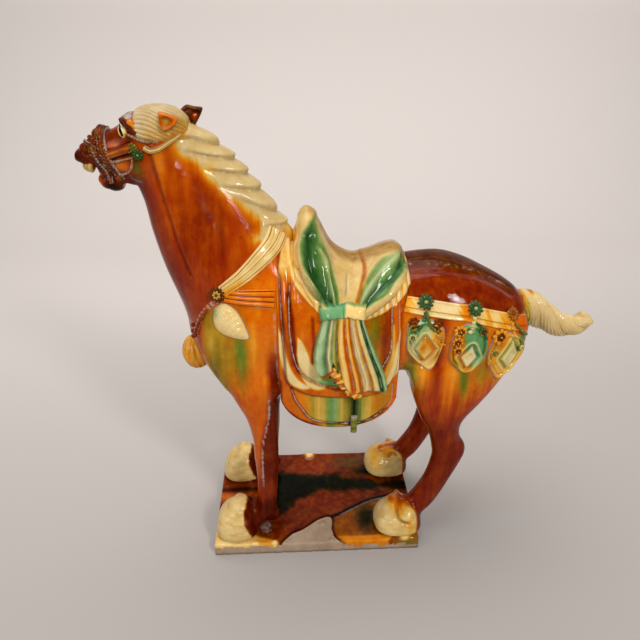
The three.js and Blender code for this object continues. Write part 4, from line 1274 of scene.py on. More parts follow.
def glaze_body(p):
    x, y, z = p.T
    # The glaze ran down at other places on the far side.
    across = x + np.where(y > 0, 3.7, 0)
    coat = Coat(x.shape, amber=2, dark=0.45)
    down = runs(across, 1)
    # Shoulder and chest.
    shoulder = smooth(-7.6 - x, -0.3, 0.5) * smooth(z + 0.8 * down, 34, 42)
    coat.lay(shoulder, amber=1.36, dark=0.03)
    coat.lay(shoulder * bump(across, -21.4, 2.6) * smooth(62 - z, 0, 4), amber=0.95, green=0.5)
    coat.lay(shoulder * bump(across, -15.9, 1.5) * spot(x, z, -16, 51.5, 9, 6.5), 0.55, 0.85)
    coat.dab(x, z, shoulder, (0.8, -13.2, 52.5, 1.1, 6, 0.65), (0.8, -22.3, 53.2, 1.5, 3.2, 0.5, 0.1))
    coat.dab(across, z, shoulder, (0.8, -18.6, 50.5, 1.2, 5.5, 0.75, 0.35))
    coat.dab(x, z, 1, (0.95, -5.4, 76, 3.6, 4.2, 0.2, 0, 0.1))
    coat.dab(x, z, shoulder, (0.9, -20.8, 57, 1.3, 2.5, 0.6, 0.12))
    coat.lay(spot(x, z, -9.2, 44, 1, 7) * smooth(-8 - x, -0.5, 0.3), amber=2.3, dark=0.9)
    coat.lay(smooth(-24.2 - x, -0.4, 1) * smooth(z, 47, 52), amber=1.9, dark=0.4)
    # Forelegs: orange in front, brown behind the grey line.
    edge = x_at(z, FORELEG_LINE)
    foreleg = smooth(41 - z, 0, 4) * (x < 0)
    coat.lay(foreleg * smooth(x - edge, -0.3, 0.5), amber=2.3, dark=0.95)
    coat.lay(foreleg * smooth(edge - x, 0.2, 1) * smooth(z + down, 9, 24), amber=1.5, dark=0.12)
    coat.lay(foreleg * smooth(20 - z + down, 0, 7) * 0.7, amber=2.1, dark=0.7)
    # Croup: nearly black-brown above the groove, red-brown under it.
    top = smooth(z - np.interp(x, *CROUP_GROOVE.T), -0.9, 0.6) * (x > 17)
    rump = smooth(z - np.interp(x, [18, 30, 46], [62.5, 61, 57]), -0.4, 0.4) * (x > 17)
    coat.lay(rump, amber=2.2, dark=0.72)
    coat.lay(top, amber=1.4, dark=1.35)
    coat.draw(0.3 * stroke(x, z - 0.5, CROUP_GROOVE, 0.5) * (np.abs(y) > 3))
    # Along the groove the dark top is lightened: a painted highlight.
    coat.add(0.5 * stroke(x, z, CROUP_GROOVE, 1.3) * top, dark=-0.3)
    # Flank and thigh under the pendants.
    flank = (1 - rump) * smooth(x - 17.5, 0, 1) * smooth(z + 1.5 * down, 33, 45)
    coat.lay(flank, amber=1.25, dark=0.05)
    coat.dab(across, z, flank, (0.7, 27.4, 53, 1.3, 3.2, 0.8), (1, 20.7, 44.6, 1.6, 4.5, 0.35, 0.5),
        (0.9, 22.9, 46, 1, 6, 0.7))
    coat.lay(flank * bump(across, 26.2, 1.25) * smooth(z, 34, 42), amber=2.1, dark=0.5)
    coat.dab(across, z, flank, (0.9, 30, 44, 1.1, 6, 0.75), (1, 32.2, 43.6, 1, 4, 0.7, 0.85),
        (0.8, 36, 46, 1.6, 3.5, 0.95, 0.5), (1, 40.4, 47.5, 1.6, 3.5, 0.75, 0.8))
    coat.lay(0.9 * smooth(x - 43.8, 0, 1.6) * smooth(z, 47, 50) * (1 - rump), amber=0.6, green=0.7)
    # The back edges of the hind legs are darkest.
    hock = smooth(36 - z, 0, 8) * (x > 10)
    coat.add(hock, amber=0.2, dark=0.35)
    # Hooves: clear glaze over slip, iron-red where the hair of the coronet begins.
    fore = smooth(inside(x, z, FORE_CORONET, trace(-40, -2, -40, 13)), -0.15, 0.3) * (x < 0)
    hind = smooth(inside(x, z, HIND_CORONET, trace(5, -2, 5, 12)), -0.3, 0.5) * (x > 8)
    pastern = smooth(10.5 + 0.6 * down - z, 0, 1.5) * (x < 0)
    coat.lay(pastern, amber=2.2, dark=1.2)
    mottle = 0.5 + 0.5 * np.sin(1.1 * x + 2 * wobble(z, 3)) * np.sin(1.2 * z + 0.7 * y)
    coat.lay(fore * (z < 12), amber=0.14, dark=0.1)
    coat.lay(hind * smooth(8.2 + 0.4 * down - z, 0, 1.2), amber=0.14, dark=0.1)
    coat.add(np.maximum(fore, hind) * (z < 10) * mottle**2, amber=0.1, dark=0.1)
    for at_x, at_z, side, size in PASTERN_CREASES:
        ring = np.hypot(x - at_x, z - at_z) - size
        coat.add(hind * (y * side > 7) * bump(ring, 0, 0.4) * (x < at_x + 1), amber=0.35, dark=0.3)
    coat.dab(x, z, 1, (0.8, 19.8, 7, 1.8, 1, 1))
    coat.lay(0.7 * spot(x, z, 23, 3.2, 0.8, 2) * (y < 0), amber=0.8)
    coat.lay(0.6 * spot(x, z, 17, 5, 1.4, 2) * (y > 0), amber=0.8)
    coat.draw(0.55 * stroke(x, z, FORELEG_LINE[:22], 0.4) * (np.abs(y) > 5))
    coat.draw(0.5 * stroke(x, z, GIRTH_LINE, 0.35) * (np.abs(y) > 5))
    return coat.marks


def cut_skin(clay, share):
    """The skin of a block, cut off where share is positive."""
    kept = clay.depth
    clay.depth = np.maximum(kept, share).astype(np.float32)
    points, quads = skin_of(clay)
    clay.depth = kept
    return points, quads


def carved(points, quads, relief):
    return points + directions(points, quads) * relief(points)[:, None]


def ride(piece):
    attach(piece, "root")
    return piece


OVERLAP = 0.6
points, quads = cut_skin(body, above_collar(body.x, body.z) - OVERLAP)
points = carved(points, quads, body_relief)
horse_body = ride(make_piece("horse_body", points, quads, glaze_body(points)))
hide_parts("horse")

# %% [markdown]
# ## Neck, mane and head
#
# The mane is one roll of clay, cut into locks that overlap like shingles from the poll down
# to the withers. The iron glaze on the neck fades to straw where it meets the clear glaze
# of the mane.

# %% Relief and glaze of the neck and head
MANE_EDGE = curve(
    -24.6, 97.2, -25.6, 95, -26, 93, -25.3, 91.5, -22.9, 90.2, -21.3, 88.4, -19.6, 86.3, -17, 83.7,
    -14.1, 81.4, -11.7, 79.2, -10.6, 77.1, -11.8, 74.7
)
# Where each lock begins: x and z of a line's end on the side of the neck and of its end on the crest.
MANE_LOCKS = [
    [-25.6, 97, -21.6, 96.6], [-24.3, 94.4, -19.7, 93], [-22.1, 91.2, -16.4, 90], [-19.9, 88.2, -13.6, 87],
    [-16.7, 84.8, -11.2, 83.8], [-14.6, 82.3, -8.2, 79.4], [-11.4, 76.9, -6, 76.4]
]
CHEEK_CREASES = (trace(-34.5, 93.6, -38.7, 92.1), trace(-34.7, 92, -38.6, 90.6))
NECK_GROOVE = curve(-31.2, 93, -30.3, 86.8, -29.5, 82.8, -28.4, 77.7, -27.2, 72.9, -25.4, 67.6)


def mane_mask(x, z):
    return inside(x, z, MANE_EDGE, trace(-4, 73, -4, 100, -22, 100))


def lock_lift(x, z):
    """Each lock rises slowly and drops sharply at its lower end."""
    past = []
    for x0, z0, x1, z1 in MANE_LOCKS:
        length = math.hypot(x1 - x0, z1 - z0)
        past.append(((x - x0) * (z1 - z0) - (z - z0) * (x1 - x0)) / length)
    lift = np.zeros(x.shape)
    for before, after in zip(past[:-1], past[1:]):
        share = before / np.maximum(before - after, 1e-3)
        own = (before >= 0) & (after < 0)
        end = np.clip((share - 0.76) / 0.24, 0, 1)
        rise = 1.25 * np.clip(share, 0, 1) ** 0.6 * np.sqrt(1 - end**2) - 0.5
        lift = np.where(own, rise, lift)
    return lift


def neck_relief(p):
    x, z = p[:, 0], p[:, 2]
    lift = -0.3 * stroke(x, z, NECK_GROOVE, 0.42)
    lift = lift + 0.12 * stroke(x - 0.8, z, NECK_GROOVE, 0.5)
    hair = mane_mask(x, z)
    return lift + smooth(hair, 0, 1.8) * lock_lift(x, z)


def glaze_neck(p):
    x, y, z = p.T
    coat = Coat(x.shape, amber=1.85, dark=0.32)
    across = x + np.where(y > 0, 4.1, 0)
    down = runs(across, 5)
    hair = mane_mask(x, z) + 0.125 * down
    front = np.interp(z, [48, 66, 72, 80, 88, 96], [-28, -26.5, -28.8, -30.4, -32.4, -33.5])
    coat.add(smooth(front - x, -1.5, 2) * (z < 92), amber=0.2, dark=0.25)
    coat.add(smooth(80 - z, 0, 12) * smooth(-14 - x, 0, 5), amber=0.2, dark=0.1)
    coat.add(0.9 * spot(x, z, -21.6, 80, 3.6, 8), amber=0.25, dark=0.3)
    coat.add(0.5 * spot(across, z, -26, 74, 0.8, 9) + 0.5 * spot(across, z, -18.4, 76, 0.6, 6), dark=0.35)
    coat.dab(x, z, 1, (0.75, -29.3, 90, 1.3, 4, 1), (0.6, -24.6, 87, 0.9, 6, 1.3, 0, 0.05),
        (0.8, -25.9, 92.5, 0.8, 3, 1.7, 0, 0.15))
    coat.lay(0.85 * smooth(hair, -3, 0.2) ** 1.5, amber=0.75)
    coat.lay(smooth(hair, -0.9, 0.5), amber=0.13, dark=0.18)
    coat.dab(x, z, 1, (0.5, -20.2, 88.4, 1.2, 1, 0.6))
    # The head: darker iron on the face, thick in every hollow.
    face = smooth(-32.6 - x, 0, 2)
    coat.lay(face, amber=2, dark=0.95)
    coat.dab(x, z, face, (1, -36.8, 89.2, 2.6, 1.5, 1.45, 0, 0.05), (1, -37.2, 93.1, 2.6, 0.7, 1.4, 0, 0.1))
    for line in CHEEK_CREASES:
        coat.add(0.8 * stroke(x, z, line, 0.3), dark=2.2)
    coat.dab(x, z, face, (0.6, -37.5, 96, 1.6, 0.5, 1.6, 0, 0.3))
    coat.dab(x, z, 1, (0.9, -42.6, 85.5, 1.3, 1.7, 1.35, 0, 0.05))
    coat.add(face * spot(x, z, -39.6, 84, 1.3, 1.6), dark=1.3)
    coat.add(0.8 * face * spot(x, z, -45.6, 90.6, 1.6, 1.2), dark=0.7)
    coat.draw(0.62 * face * spot(x, z, -34.6, 98.2, 2, 0.8))
    coat.dab(x, z, 1, (0.85, -33.6, 89, 0.7, 1.9, 0.9, 0.9))
    coat.add(0.8 * stroke(x, z, NECK_GROOVE, 0.35) * (np.abs(y) > 1.5), dark=0.3)
    return coat.marks


points, quads = cut_skin(head, -above_collar(head.x, head.z) - OVERLAP)
points = carved(points, quads, neck_relief)
ride(make_piece("head_and_neck", points, quads, glaze_neck(points)))

# %% [markdown]
# ## Colour of the saddlery
#
# The flap is orange with straw-coloured runs down its borders, the cover is cream with
# green worked into the gathers, and copper glaze ran from the knot to the foot of the flap.

# %% Glaze of the flaps and the cover
# Glaze across the foot of the flap: x, and the amber, green and dark there.
BAND_RUNS = [
    [-9, 1.35, 0, 0.1], [-3, 1.15, 0, 0], [-1.6, 0.75, 0.15, 0], [-0.6, 0.6, 0.3, 0], [0.4, 0.35, 0.05, 0],
    [1.2, 0.4, 0.1, 0], [2.4, 0.4, 0.5, 0], [3.6, 0.1, 0.75, 0.05], [4.4, 0.2, 0.5, 0],
    [5.4, 0.45, 0.08, 0], [6.6, 0.6, 0.4, 0.05], [7.6, 0.6, 0.45, 0.3], [8.2, 0.4, 0.7, 1],
    [8.9, 0.3, 0.8, 0.4], [10, 0.4, 0.3, 0], [11.6, 0.5, 0.12, 0], [13, 1, 0.1, 0], [14.4, 0.95, 0.2, 0],
    [18.5, 1.25, 0.05, 0]
]
# Each dark streak: its line, width and strength.
FLAP_STREAKS = (
    (trace(-5.6, 64.5, -4.9, 60, -4.5, 54, -3.7, 48.5, -1.5, 45), 0.42, 0.9),
    (trace(-7, 62, -6.3, 56, -5, 50), 0.4, 0.5), (trace(-6.4, 45, -4.2, 41.8, -2.6, 39), 0.5, 0.5),
    (trace(-0.7, 60, -0.5, 54, -0.7, 50), 0.34, 0.6), (trace(12.8, 50.5, 14, 47.5), 0.5, 0.5),
)
FOOT_CREASE = trace(5, 33.7, 10.6, 33.9, 14.5, 36.7)
MIDDLE_SEAM = trace(8.3, 43, 8.3, 35.8)
LEFT_RUN = curve(
    -8, 58.6, -7.2, 56.6, -6.3, 52.5, -5.2, 48.8, -3.4, 46, -1.2, 44.4, -2.8, 43.9, -5.4, 45.2, -7, 48.4,
    -7.9, 53
)
INNER_RUN = curve(
    -3.9, 56.2, -2.8, 55, -1.7, 52.4, -0.9, 49.9, 0.2, 51.4, 0.9, 50.4, 0.8, 46.8, 3, 45, 0.6, 43.6,
    -1.9, 44.7, -3.5, 47.8, -4.2, 52
)
RIGHT_RUN = curve(18.4, 59.6, 18.7, 54, 18.2, 49.4, 16.8, 46, 14.3, 43.6, 14.7, 46, 15.9, 49.6, 16.6, 54)
CREAM_LIP = curve(15.4, 58, 16.2, 58, 16.4, 51.6, 15.4, 47.6, 14.2, 46, 14.6, 49, 15.3, 53)


def glaze_saddlery(x, y, z):
    coat = Coat(x.shape, amber=1.42, dark=0.12)
    down = runs(x + np.where(y > 0, 2.3, 0), 9)
    upper, field, lower = panel_edges(x, z)
    for line, width, share in FLAP_STREAKS:
        coat.add(share * stroke(x, z, line, width), amber=1.1, dark=0.75)
    coat.lay(smooth(inside(x, z, INNER_RUN), -0.25, 0.3), amber=0.12, dark=0.02)
    coat.add(0.6 * spot(x, z, -0.6, 52, 0.3, 2.4), amber=0.9)
    # Bands of runs under the upper panel, all the way down.
    at = x + 0.22 * down * smooth(UPPER_FOOT - z, 0, 8)
    low = smooth(0.25 - upper, 0, 0.3) * smooth(x + 8.2, 0, 3) * (z < UPPER_FOOT)
    coat.bands(at, BAND_RUNS, low)
    border = smooth(0.3 - lower, 0, 0.4) * (z < UPPER_FOOT)
    coat.add(border, amber=0.35)
    coat.lay(border * smooth(0.6 - x, -1.5, 3), amber=1.35, dark=0.12)
    rim = np.minimum(z - flap_foot(x), 1.5 * (x - FLAP_FRONT))
    coat.lay(0.9 * smooth(1.6 - rim, 0, 0.9) * smooth(2 - x, 0, 3) * (z < UPPER_FOOT), amber=2.1, dark=0.9)
    coat.lay(0.8 * border * smooth(x - 14, 0, 2), amber=1.7)
    coat.lay(smooth(field, 0, 0.5) * spot(x, z, 3, 45.2, 3.2, 1.7), amber=0.1, green=0.75)
    coat.lay(smooth(inside(x, z, LEFT_RUN), -0.3, 0.3), amber=0.1)
    coat.lay(smooth(inside(x, z, RIGHT_RUN), -0.25, 0.3), amber=0.08)
    coat.lay(0.9 * smooth(inside(x, z, CREAM_LIP), -0.2, 0.3), amber=0.12)
    coat.dab(x, z, 1, (0.9, 12.2, 57, 1.6, 4, 0.85, 0.7), (0.9, 14.4, 55.5, 1.1, 5.5, 2, 0, 0.8),
        (0.8, 12.6, 50, 0.8, 3, 0.9, 0.4))
    for line in (FIELD_LINE, UPPER_PANEL, LOWER_PANEL):
        coat.add(0.7 * stroke(x, z, line, 0.34) * (x < 15.8), amber=0.5, dark=0.8)
        coat.draw(0.7 * stroke(x, z, line, 0.15))
    coat.add(stroke(x, z, FOOT_CREASE, 0.2), dark=1.2)
    coat.add(stroke(x, z, MIDDLE_SEAM, 0.28), dark=0.9)
    coat.lay(0.9 * smooth(z - 66, 0, 3.5) * smooth(-2.5 - x, 0, 1.5), amber=0.2, dark=0.06)
    # The cover over the seat.
    cloth = cover_mask(x, z) * (z > SADDLE_FOOT)
    skirt = skirt_mask(x, z) * (z > SADDLE_FOOT)
    _, ribs = skirt_ribs(x, z)
    coat.lay(skirt, amber=0.15, dark=0.03)
    coat.add(skirt * (1 - cloth) * smooth(ribs, -0.2, -0.9), amber=0.5)
    coat.lay(cloth, amber=0.19, dark=0.15)
    front, rear = fold_edges(x, z)
    green = smooth(front, -0.15, 0.5)
    coat.lay(green, amber=0.25, green=0.8, dark=0.15)
    coat.add(green * stroke(x, z, FOLD_VALLEY, 1.1), green=0.5, dark=0.4)
    coat.lay(0.75 * green * stroke(x, z, FOLD_CREST, 0.3), green=0.1, amber=0.1)
    coat.add(green * smooth(x - x_at(z, FOLD_CREST), 0.4, 2.4), green=-0.4)
    leaf = smooth(rear, -0.15, 0.5)
    coat.lay(leaf, amber=0.2, green=0.6, dark=0.1)
    coat.add(leaf * stroke(x, z, REAR_VALLEY, 0.6), green=0.6, dark=0.4)
    coat.lay(0.6 * leaf * stroke(x, z, REAR_CREST, 0.4), green=0.1)
    coat.lay(0.95 * cloth * stroke(x, z, DRIP, 0.36), amber=1.4, dark=0.5)
    ridge = np.interp(x, saddle_base[0, :, 0], ridge_height(saddle_base[0, :, 0]))
    rim = cloth * smooth(z - ridge + 1.2, 0, 0.9) * smooth(x, -2.4, 0.5)
    coat.lay(0.6 * rim, amber=0.55, dark=0.75)
    coat.draw(0.8 * stroke(x, z, SEAM, 0.16) * cloth)
    coat.draw(0.65 * stroke(x, z, COVER_FRONT, 0.12) * (z < 70))
    coat.draw(0.6 * stroke(x, z, FOLD_CREST[8:], 0.12) + 0.6 * stroke(x, z, REAR_CREST[8:], 0.12))
    return coat.marks


saddle_sheet = (saddle_face, saddle_back, glaze_saddlery(*np.moveaxis(saddle_base, 2, 0)))
ride(make_piece("saddlery", *gather([saddle_sheet])))


# %% Glaze of sash and knot
# Glaze across the sash: the share of the way, and the amber, green and dark there.
SASH_RUNS = [
    [0, 0.1, 0.7, 0], [0.05, 0.04, 0.3, 0], [0.12, 0.04, 0.45, 0], [0.185, 0.1, 0.9, 0.3],
    [0.2, 0.15, 0.2, 0.2], [0.235, 0.12, 0.04, 0], [0.27, 0.1, 0.5, 0.1], [0.3, 0.2, 0.25, 0],
    [0.34, 0.6, 0.5, 0.05], [0.37, 0.7, 0.4, 0.3], [0.4, 0.5, 0, 0], [0.44, 0.14, 0, 0], [0.48, 0.4, 0, 0],
    [0.505, 1.9, 0, 0.2], [0.54, 1.5, 0, 0.1], [0.57, 0.2, 0, 0], [0.6, 0.6, 0, 0], [0.625, 1.6, 0, 0.3],
    [0.66, 0.2, 0.03, 0], [0.72, 0.13, 0.04, 0], [0.765, 0.3, 0, 0.3], [0.79, 0.9, 0, 0.1],
    [0.82, 0.15, 0, 0], [0.87, 0.15, 0.15, 0], [0.9, 0.1, 1.3, 0.8], [0.925, 0.1, 1, 0.4],
    [0.955, 0.05, 0.35, 0], [1, 0.12, 0.7, 0]
]


def glaze_sash(share, down):
    coat = Coat(share.shape)
    coat.bands(share, SASH_RUNS)
    coat.lay(0.5 * smooth(0.16 - down, 0, 0.12) * smooth(share, 0.3, 0.5), amber=0.3)
    coat.draw(0.8 * bump(14 * share, 9.8, 0.12) * (down < 0.9))
    for valley in PLEAT_VALLEYS[1:-1]:
        coat.draw(0.75 * bump(share, valley, 0.009) * (0.75 + 0.25 * np.sin(30 * down + 50 * valley)))
    coat.draw(0.6 * smooth(down, 0.93, 0.97) * (1 - smooth(down, 0.98, 1)))
    return coat.marks


def glaze_knot(a, b):
    coat = Coat(a.shape, amber=0.2)
    coat.lay(smooth(0.08 - a + 0.05 * b, -0.06, 0.06), amber=0.05, green=0.8)
    coat.add(smooth(np.abs(b), 0.75, 1), green=0.5, dark=0.15)
    return coat.marks


HEM_CURLS = curve(
    2.2, 48.9, 3.9, 49.6, 3, 47.9, 4.8, 48.2, 4, 46.6, 6, 46.8, 5, 45.2, 7.2, 45.2, 6.3, 43.6, 8.4, 43.8,
    7.8, 42.4, 9.6, 42.9
)


def hem_curls(side):
    """The rolled edge of the middle pleats, which folds to and fro on its way down."""
    x, z = HEM_CURLS.T
    centre = np.stack([x, side * (flap_face(x, z) + 1.5), z], 1)
    radius = 0.52 * round_ends(len(x), 14)
    points, quads, s = tube(centre, radius, 14, lambda s, angle: 1 + 0.1 * np.cos(3 * angle))
    coat = Coat(s.shape, amber=0.5)
    coat.add(smooth(np.sin(s * 42), 0, 0.8), amber=1, dark=0.3)
    coat.draw(0.5 * smooth(np.sin(s * 88 + 1), 0.6, 1))
    return points, quads, coat.marks


def press_tab(side, count=24):
    """The end of the tie, which hangs over the foot of the flap."""
    b, a = lattice(count, count)
    x, z = 8.35 + 0.72 * a, 33.7 + 2.3 * b
    lift = ((1 - a**4) * (1 - b**4)) ** 0.5 + 0.15 * np.cos(7 * b)
    under = flap_face(x, np.maximum(z, flap_foot(x) + 0.4))
    coat = Coat(x.shape, amber=0.5, green=0.55, dark=0.1)
    coat.draw(0.7 * smooth(np.maximum(np.abs(a), np.abs(b)), 0.8, 0.98))
    face, back = (np.stack([x, side * y, z], -1) for y in (under + lift, under - 0.7))
    return face, back, coat.marks


parts = []
SASH_GRIDS = ((NEAR, 150, 104), (FAR, 76, 56))
for side, columns, rows in SASH_GRIDS:
    face, back, share, down = press_sash(side, columns, rows)
    parts.append((face, back, glaze_sash(share, down)))
    face, back, a, b = press_knot(side, columns=70, rows=22)
    parts.append((face, back, glaze_knot(a, b)))
    parts.append(press_tab(side))
ride(make_piece("sash", *gather(parts)))
ride(make_piece("sash_hem_curls", *join([hem_curls(side) for side in (NEAR, FAR)])))

# %% [markdown]
# ## Breast strap, crupper and their hangings
#
# Leather straps with moulded flowers and hanging plates, laid on as sprigs of clay. On the
# chest hang a ribbed bell and a string of beads, and a shell lies over the point of the
# shoulder.

# %% Straps round the trunk
def rolls(count, depth):
    """A strap of rounded rolls side by side."""

    def profile(s, t):
        edge = 1 - smooth(np.abs(t), 0.84, 1)
        roll = np.abs(np.cos(t * math.pi * count / 2)) ** 0.6
        return -0.3 + edge * (0.72 + depth * (roll - 0.5))

    return profile


# Each groove: its place across the strap, its drift along it, its depth and its width.
COLLAR_GROOVES = [
    [-0.66, 0.25, 1, 0.05], [-0.3, -0.1, 0.5, 0.035], [-0.02, 0.22, 0.9, 0.04], [0.3, 0.06, 0.45, 0.035],
    [0.62, -0.14, 1, 0.05]
]


def collar_grooves(s, t):
    """Shallow lines that run together and apart along the strap."""
    cut = np.zeros(s.shape)
    for place, drift, depth, width in COLLAR_GROOVES:
        away = t - place - drift * (s - 0.5) - 0.04 * np.sin(9 * s + 7 * place)
        cut = cut + depth * bump(away, 0, width)
    return cut


def collar_strap(s, t):
    edge = 1 - smooth(np.abs(t), 0.82, 1)
    return -0.3 + edge * (0.75 + 0.22 * np.cos(1.3 * t) - 0.26 * collar_grooves(s, t))


def plain_strap(s, t):
    """Two raised lines along the edges of a flat band."""
    edge = 1 - smooth(np.abs(t), 0.9, 1)
    return -0.3 + edge * (0.7 + 0.16 * bump(np.abs(t), 0.8, 0.1))


def strap_glaze(kind, s, t):
    coat = Coat(s.shape, amber=0.17)
    if kind == "collar":
        coat.lay(1, amber=0.16, dark=0.04)
        coat.add(smooth(collar_grooves(s, t), 0.3, 1), amber=0.3, dark=0.3)
        coat.lay(0.7 * smooth(s, 0.55, 0.9) * smooth(-t, -0.4, 0.5), amber=1)
        coat.draw(0.6 * bump(np.abs(t), 0.97, 0.06))
    if kind == "breast":
        coat.lay(1, amber=1.25)
        coat.add(smooth(np.abs(np.cos(t * math.pi * 2)), 0.35, 0), amber=0.5, dark=1.5)
        coat.lay(0.6 * bump(t, -0.86, 0.1), amber=0.5)
        coat.draw(0.8 * bump(t, -0.98, 0.1))
    if kind == "crupper":
        coat.bands(s + 0.012 * t + 0.02 * wobble(s * 30 + 2 * t, 3), CRUPPER_RUNS)
        coat.add(bump(t, -0.33, 0.05), dark=0.5, amber=0.3)
        coat.draw(0.85 * bump(t, 0.97, 0.07) + 0.4 * bump(t, -0.97, 0.07))
    if kind == "chest":
        coat.lay(1, amber=1.3, dark=0.25)
        coat.draw(0.8 * smooth(np.sin(s * 60), -0.4, 0.4))
    return coat.marks


# The share of the way along the crupper, and the amber there.
CRUPPER_RUNS = trace(
    0, 0.9, 0.05, 0.5, 0.08, 0.13, 0.2, 0.13, 0.26, 0.1, 0.37, 0.13, 0.4, 0.8, 0.47, 1.15, 0.51, 0.3,
    0.55, 0.2, 0.6, 0.9, 0.64, 0.25, 0.69, 0.2, 0.74, 0.9, 0.79, 0.3, 0.84, 1.4, 1, 1.7
)
# Each strap: its kind, line, width at both ends, profile, and points along and across.
STRAP_SET = (
    ("collar", COLLAR, (5, 2.6), collar_strap, 110, 43),
    ("breast", BREAST, (4.4, 3.6), rolls(4, 0.3), 60, 27),
    ("chest", CHEST, (1.3, 1.1), rolls(2, 0.3), 60, 11),
    ("crupper", CRUPPER, (3.7, 3.9), plain_strap, 180, 27),
)
parts = []
for side in (NEAR, FAR):
    for kind, line, width, profile, count, across in STRAP_SET:
        count = count if side == NEAR else count // 2
        face, back, s, t = ribbon(body, line, side, width, profile, count, across)
        parts.append((face, back, strap_glaze(kind, s, t)))
ride(make_piece("breast_strap_and_crupper", *gather(parts)))


# %% Hanging plates and the shell
def boss(x, z, at_x, at_z, radius):
    """A rolled-up scroll end: a knob with a spiral cut into it."""
    dx, dz = x - at_x, z - at_z
    away = np.hypot(dx, dz)
    spiral = 0.5 + 0.5 * np.cos(2 * math.pi * away / (0.55 * radius) - np.arctan2(dz, dx))
    knob = smooth(radius - away, 0, 0.5 * radius)
    return knob * (0.5 - 0.3 * spiral * smooth(away, 0.1, 0.3))


def plate(outline, lozenge, bosses, stem, count):
    """A leaf-shaped plate: rolled rim, a lozenge within a frame, scroll ends and a stem."""
    x, z, radius = outlined(outline, count)
    lift = 0.75 * (1 - radius**10) - 0.25
    lift = lift + 0.45 * bump(radius, 0.88, 0.05) - 0.3 * bump(radius, 0.77, 0.05)
    within = inside(x, z, lozenge)
    lift = lift + 0.4 * smooth(within, -0.15, 0.25) - 0.3 * bump(within, -0.35, 0.2)
    lift = lift - 0.2 * smooth(within, 0.5, 0.9) + 0.32 * bump(within, -1.1, 0.28)
    for row in bosses:
        lift = lift + 0.9 * boss(x, z, *row)
    away, _ = line_distance(x, z, stem)
    lift = lift + 0.45 * smooth(1 - away, 0, 0.7)
    return x, z, radius, within, lift


FIRST_LOZENGE = trace(22.7, 55.2, 24.8, 52.2, 23.2, 48.9, 21.1, 52.4)
SECOND_LOZENGE = trace(32.9, 52.8, 34.2, 50.1, 32.4, 47.3, 31, 49.9)
THIRD_LOZENGE = trace(42, 52.8, 43.4, 49.9, 41.6, 46.4, 39.9, 48.9)
# Each scroll end of a pendant: x, z and radius.
FIRST_BOSSES = [[20.2, 57.6, 1.1], [25.1, 57.6, 1.1], [20.4, 54.7, 0.9], [25.6, 54.6, 0.9]]
SECOND_BOSSES = [[30.2, 56.6, 1.2], [29.9, 54.3, 1], [30.3, 52, 0.9], [34.9, 55.8, 0.9]]
THIRD_BOSSES = [[38.9, 54, 1.2], [38.2, 50.8, 1], [37.9, 48.4, 0.8], [44.2, 50.9, 0.9]]
# Each pendant: its outline, the lozenge in it, its scroll ends and its stem.
PLATES = (
    (FIRST_PENDANT, FIRST_LOZENGE, FIRST_BOSSES, trace(22.6, 60.4, 21.6, 58.4)),
    (SECOND_PENDANT, SECOND_LOZENGE, SECOND_BOSSES, trace(32.6, 59.4, 32.6, 56.8)),
    (THIRD_PENDANT, THIRD_LOZENGE, THIRD_BOSSES, trace(41.4, 57, 42.2, 54.8)),
)


def glaze_plate(number, x, z, radius, within):
    coat = Coat(x.shape, amber=0.55)
    if number == 0:
        coat.lay(smooth(23.4 - x + 0.3 * (z - 53), -1.2, 1.2), amber=0.12, green=0.15)
        coat.lay(0.8 * smooth(50.5 - z, 0, 2.5), amber=0.16)
        coat.dab(x, z, 1, (0.8, 20.4, 56.2, 1.6, 1.6, 0.2, 0.95), (0.8, 26, 55.4, 1, 2.2, 1.05),
            (0.8, 22.4, 58.8, 1, 1.6, 0, 1), (0.7, 20, 57.8, 0.9, 0.8, 1.2, 0.4))
        coat.lay(bump(within, 0, 0.3) * smooth(x, 21.5, 23), amber=1.2)
        coat.lay(smooth(within, 0.35, 0.7), amber=0.15)
        coat.add(spot(x, z, 22.4, 52.8, 0.8, 1.4) * smooth(within, 0, 0.3), amber=0.9)
    elif number == 1:
        coat.lay(1, amber=0.85)
        coat.dab(x, z, 1, (0.8, 30, 54.4, 1.5, 3.2, 1.5, 0, 0.3))
        behind = x - 31.2 - 0.25 * (54 - z)
        coat.lay(smooth(behind, -0.6, 0.8) * smooth(z, 46.5, 48.5), amber=0.1, green=0.9)
        coat.dab(x, z, 1, (0.8, 30, 47.6, 1.4, 1.6, 0.9, 0.6))
        coat.lay(smooth(within, -0.2, 0.1), amber=0.1, green=0.04)
        coat.dab(x, z, 1, (0.8, 32.4, 58, 0.9, 1.2, 0.3, 0.1))
    else:
        coat.lay(1, amber=0.6)
        coat.dab(x, z, 1, (0.8, 38.6, 53.4, 1.5, 2.4, 1.5, 0, 0.3), (0.8, 38.2, 50.4, 1.4, 2.4, 0.75, 0.1))
        coat.lay(smooth(within, -0.9, -0.2), amber=0.35, green=0.35)
        coat.lay(smooth(within, -0.2, 0.1), amber=0.12, green=0.1)
        coat.dab(x, z, 1, (0.9, 44.4, 53, 1.4, 2, 0.4, 0.8))
    coat.draw(smooth(radius, 0.9, 0.965))
    coat.draw(0.3 * bump(radius, 0.77, 0.035))
    coat.lay(0.8 * bump(within, -1.1, 0.3), amber=0.15, green=0.05)
    coat.draw(0.6 * bump(within, -0.4, 0.1))
    return coat.marks


SHELL_POINT_X, SHELL_POINT_Z = -13.9, 54.3


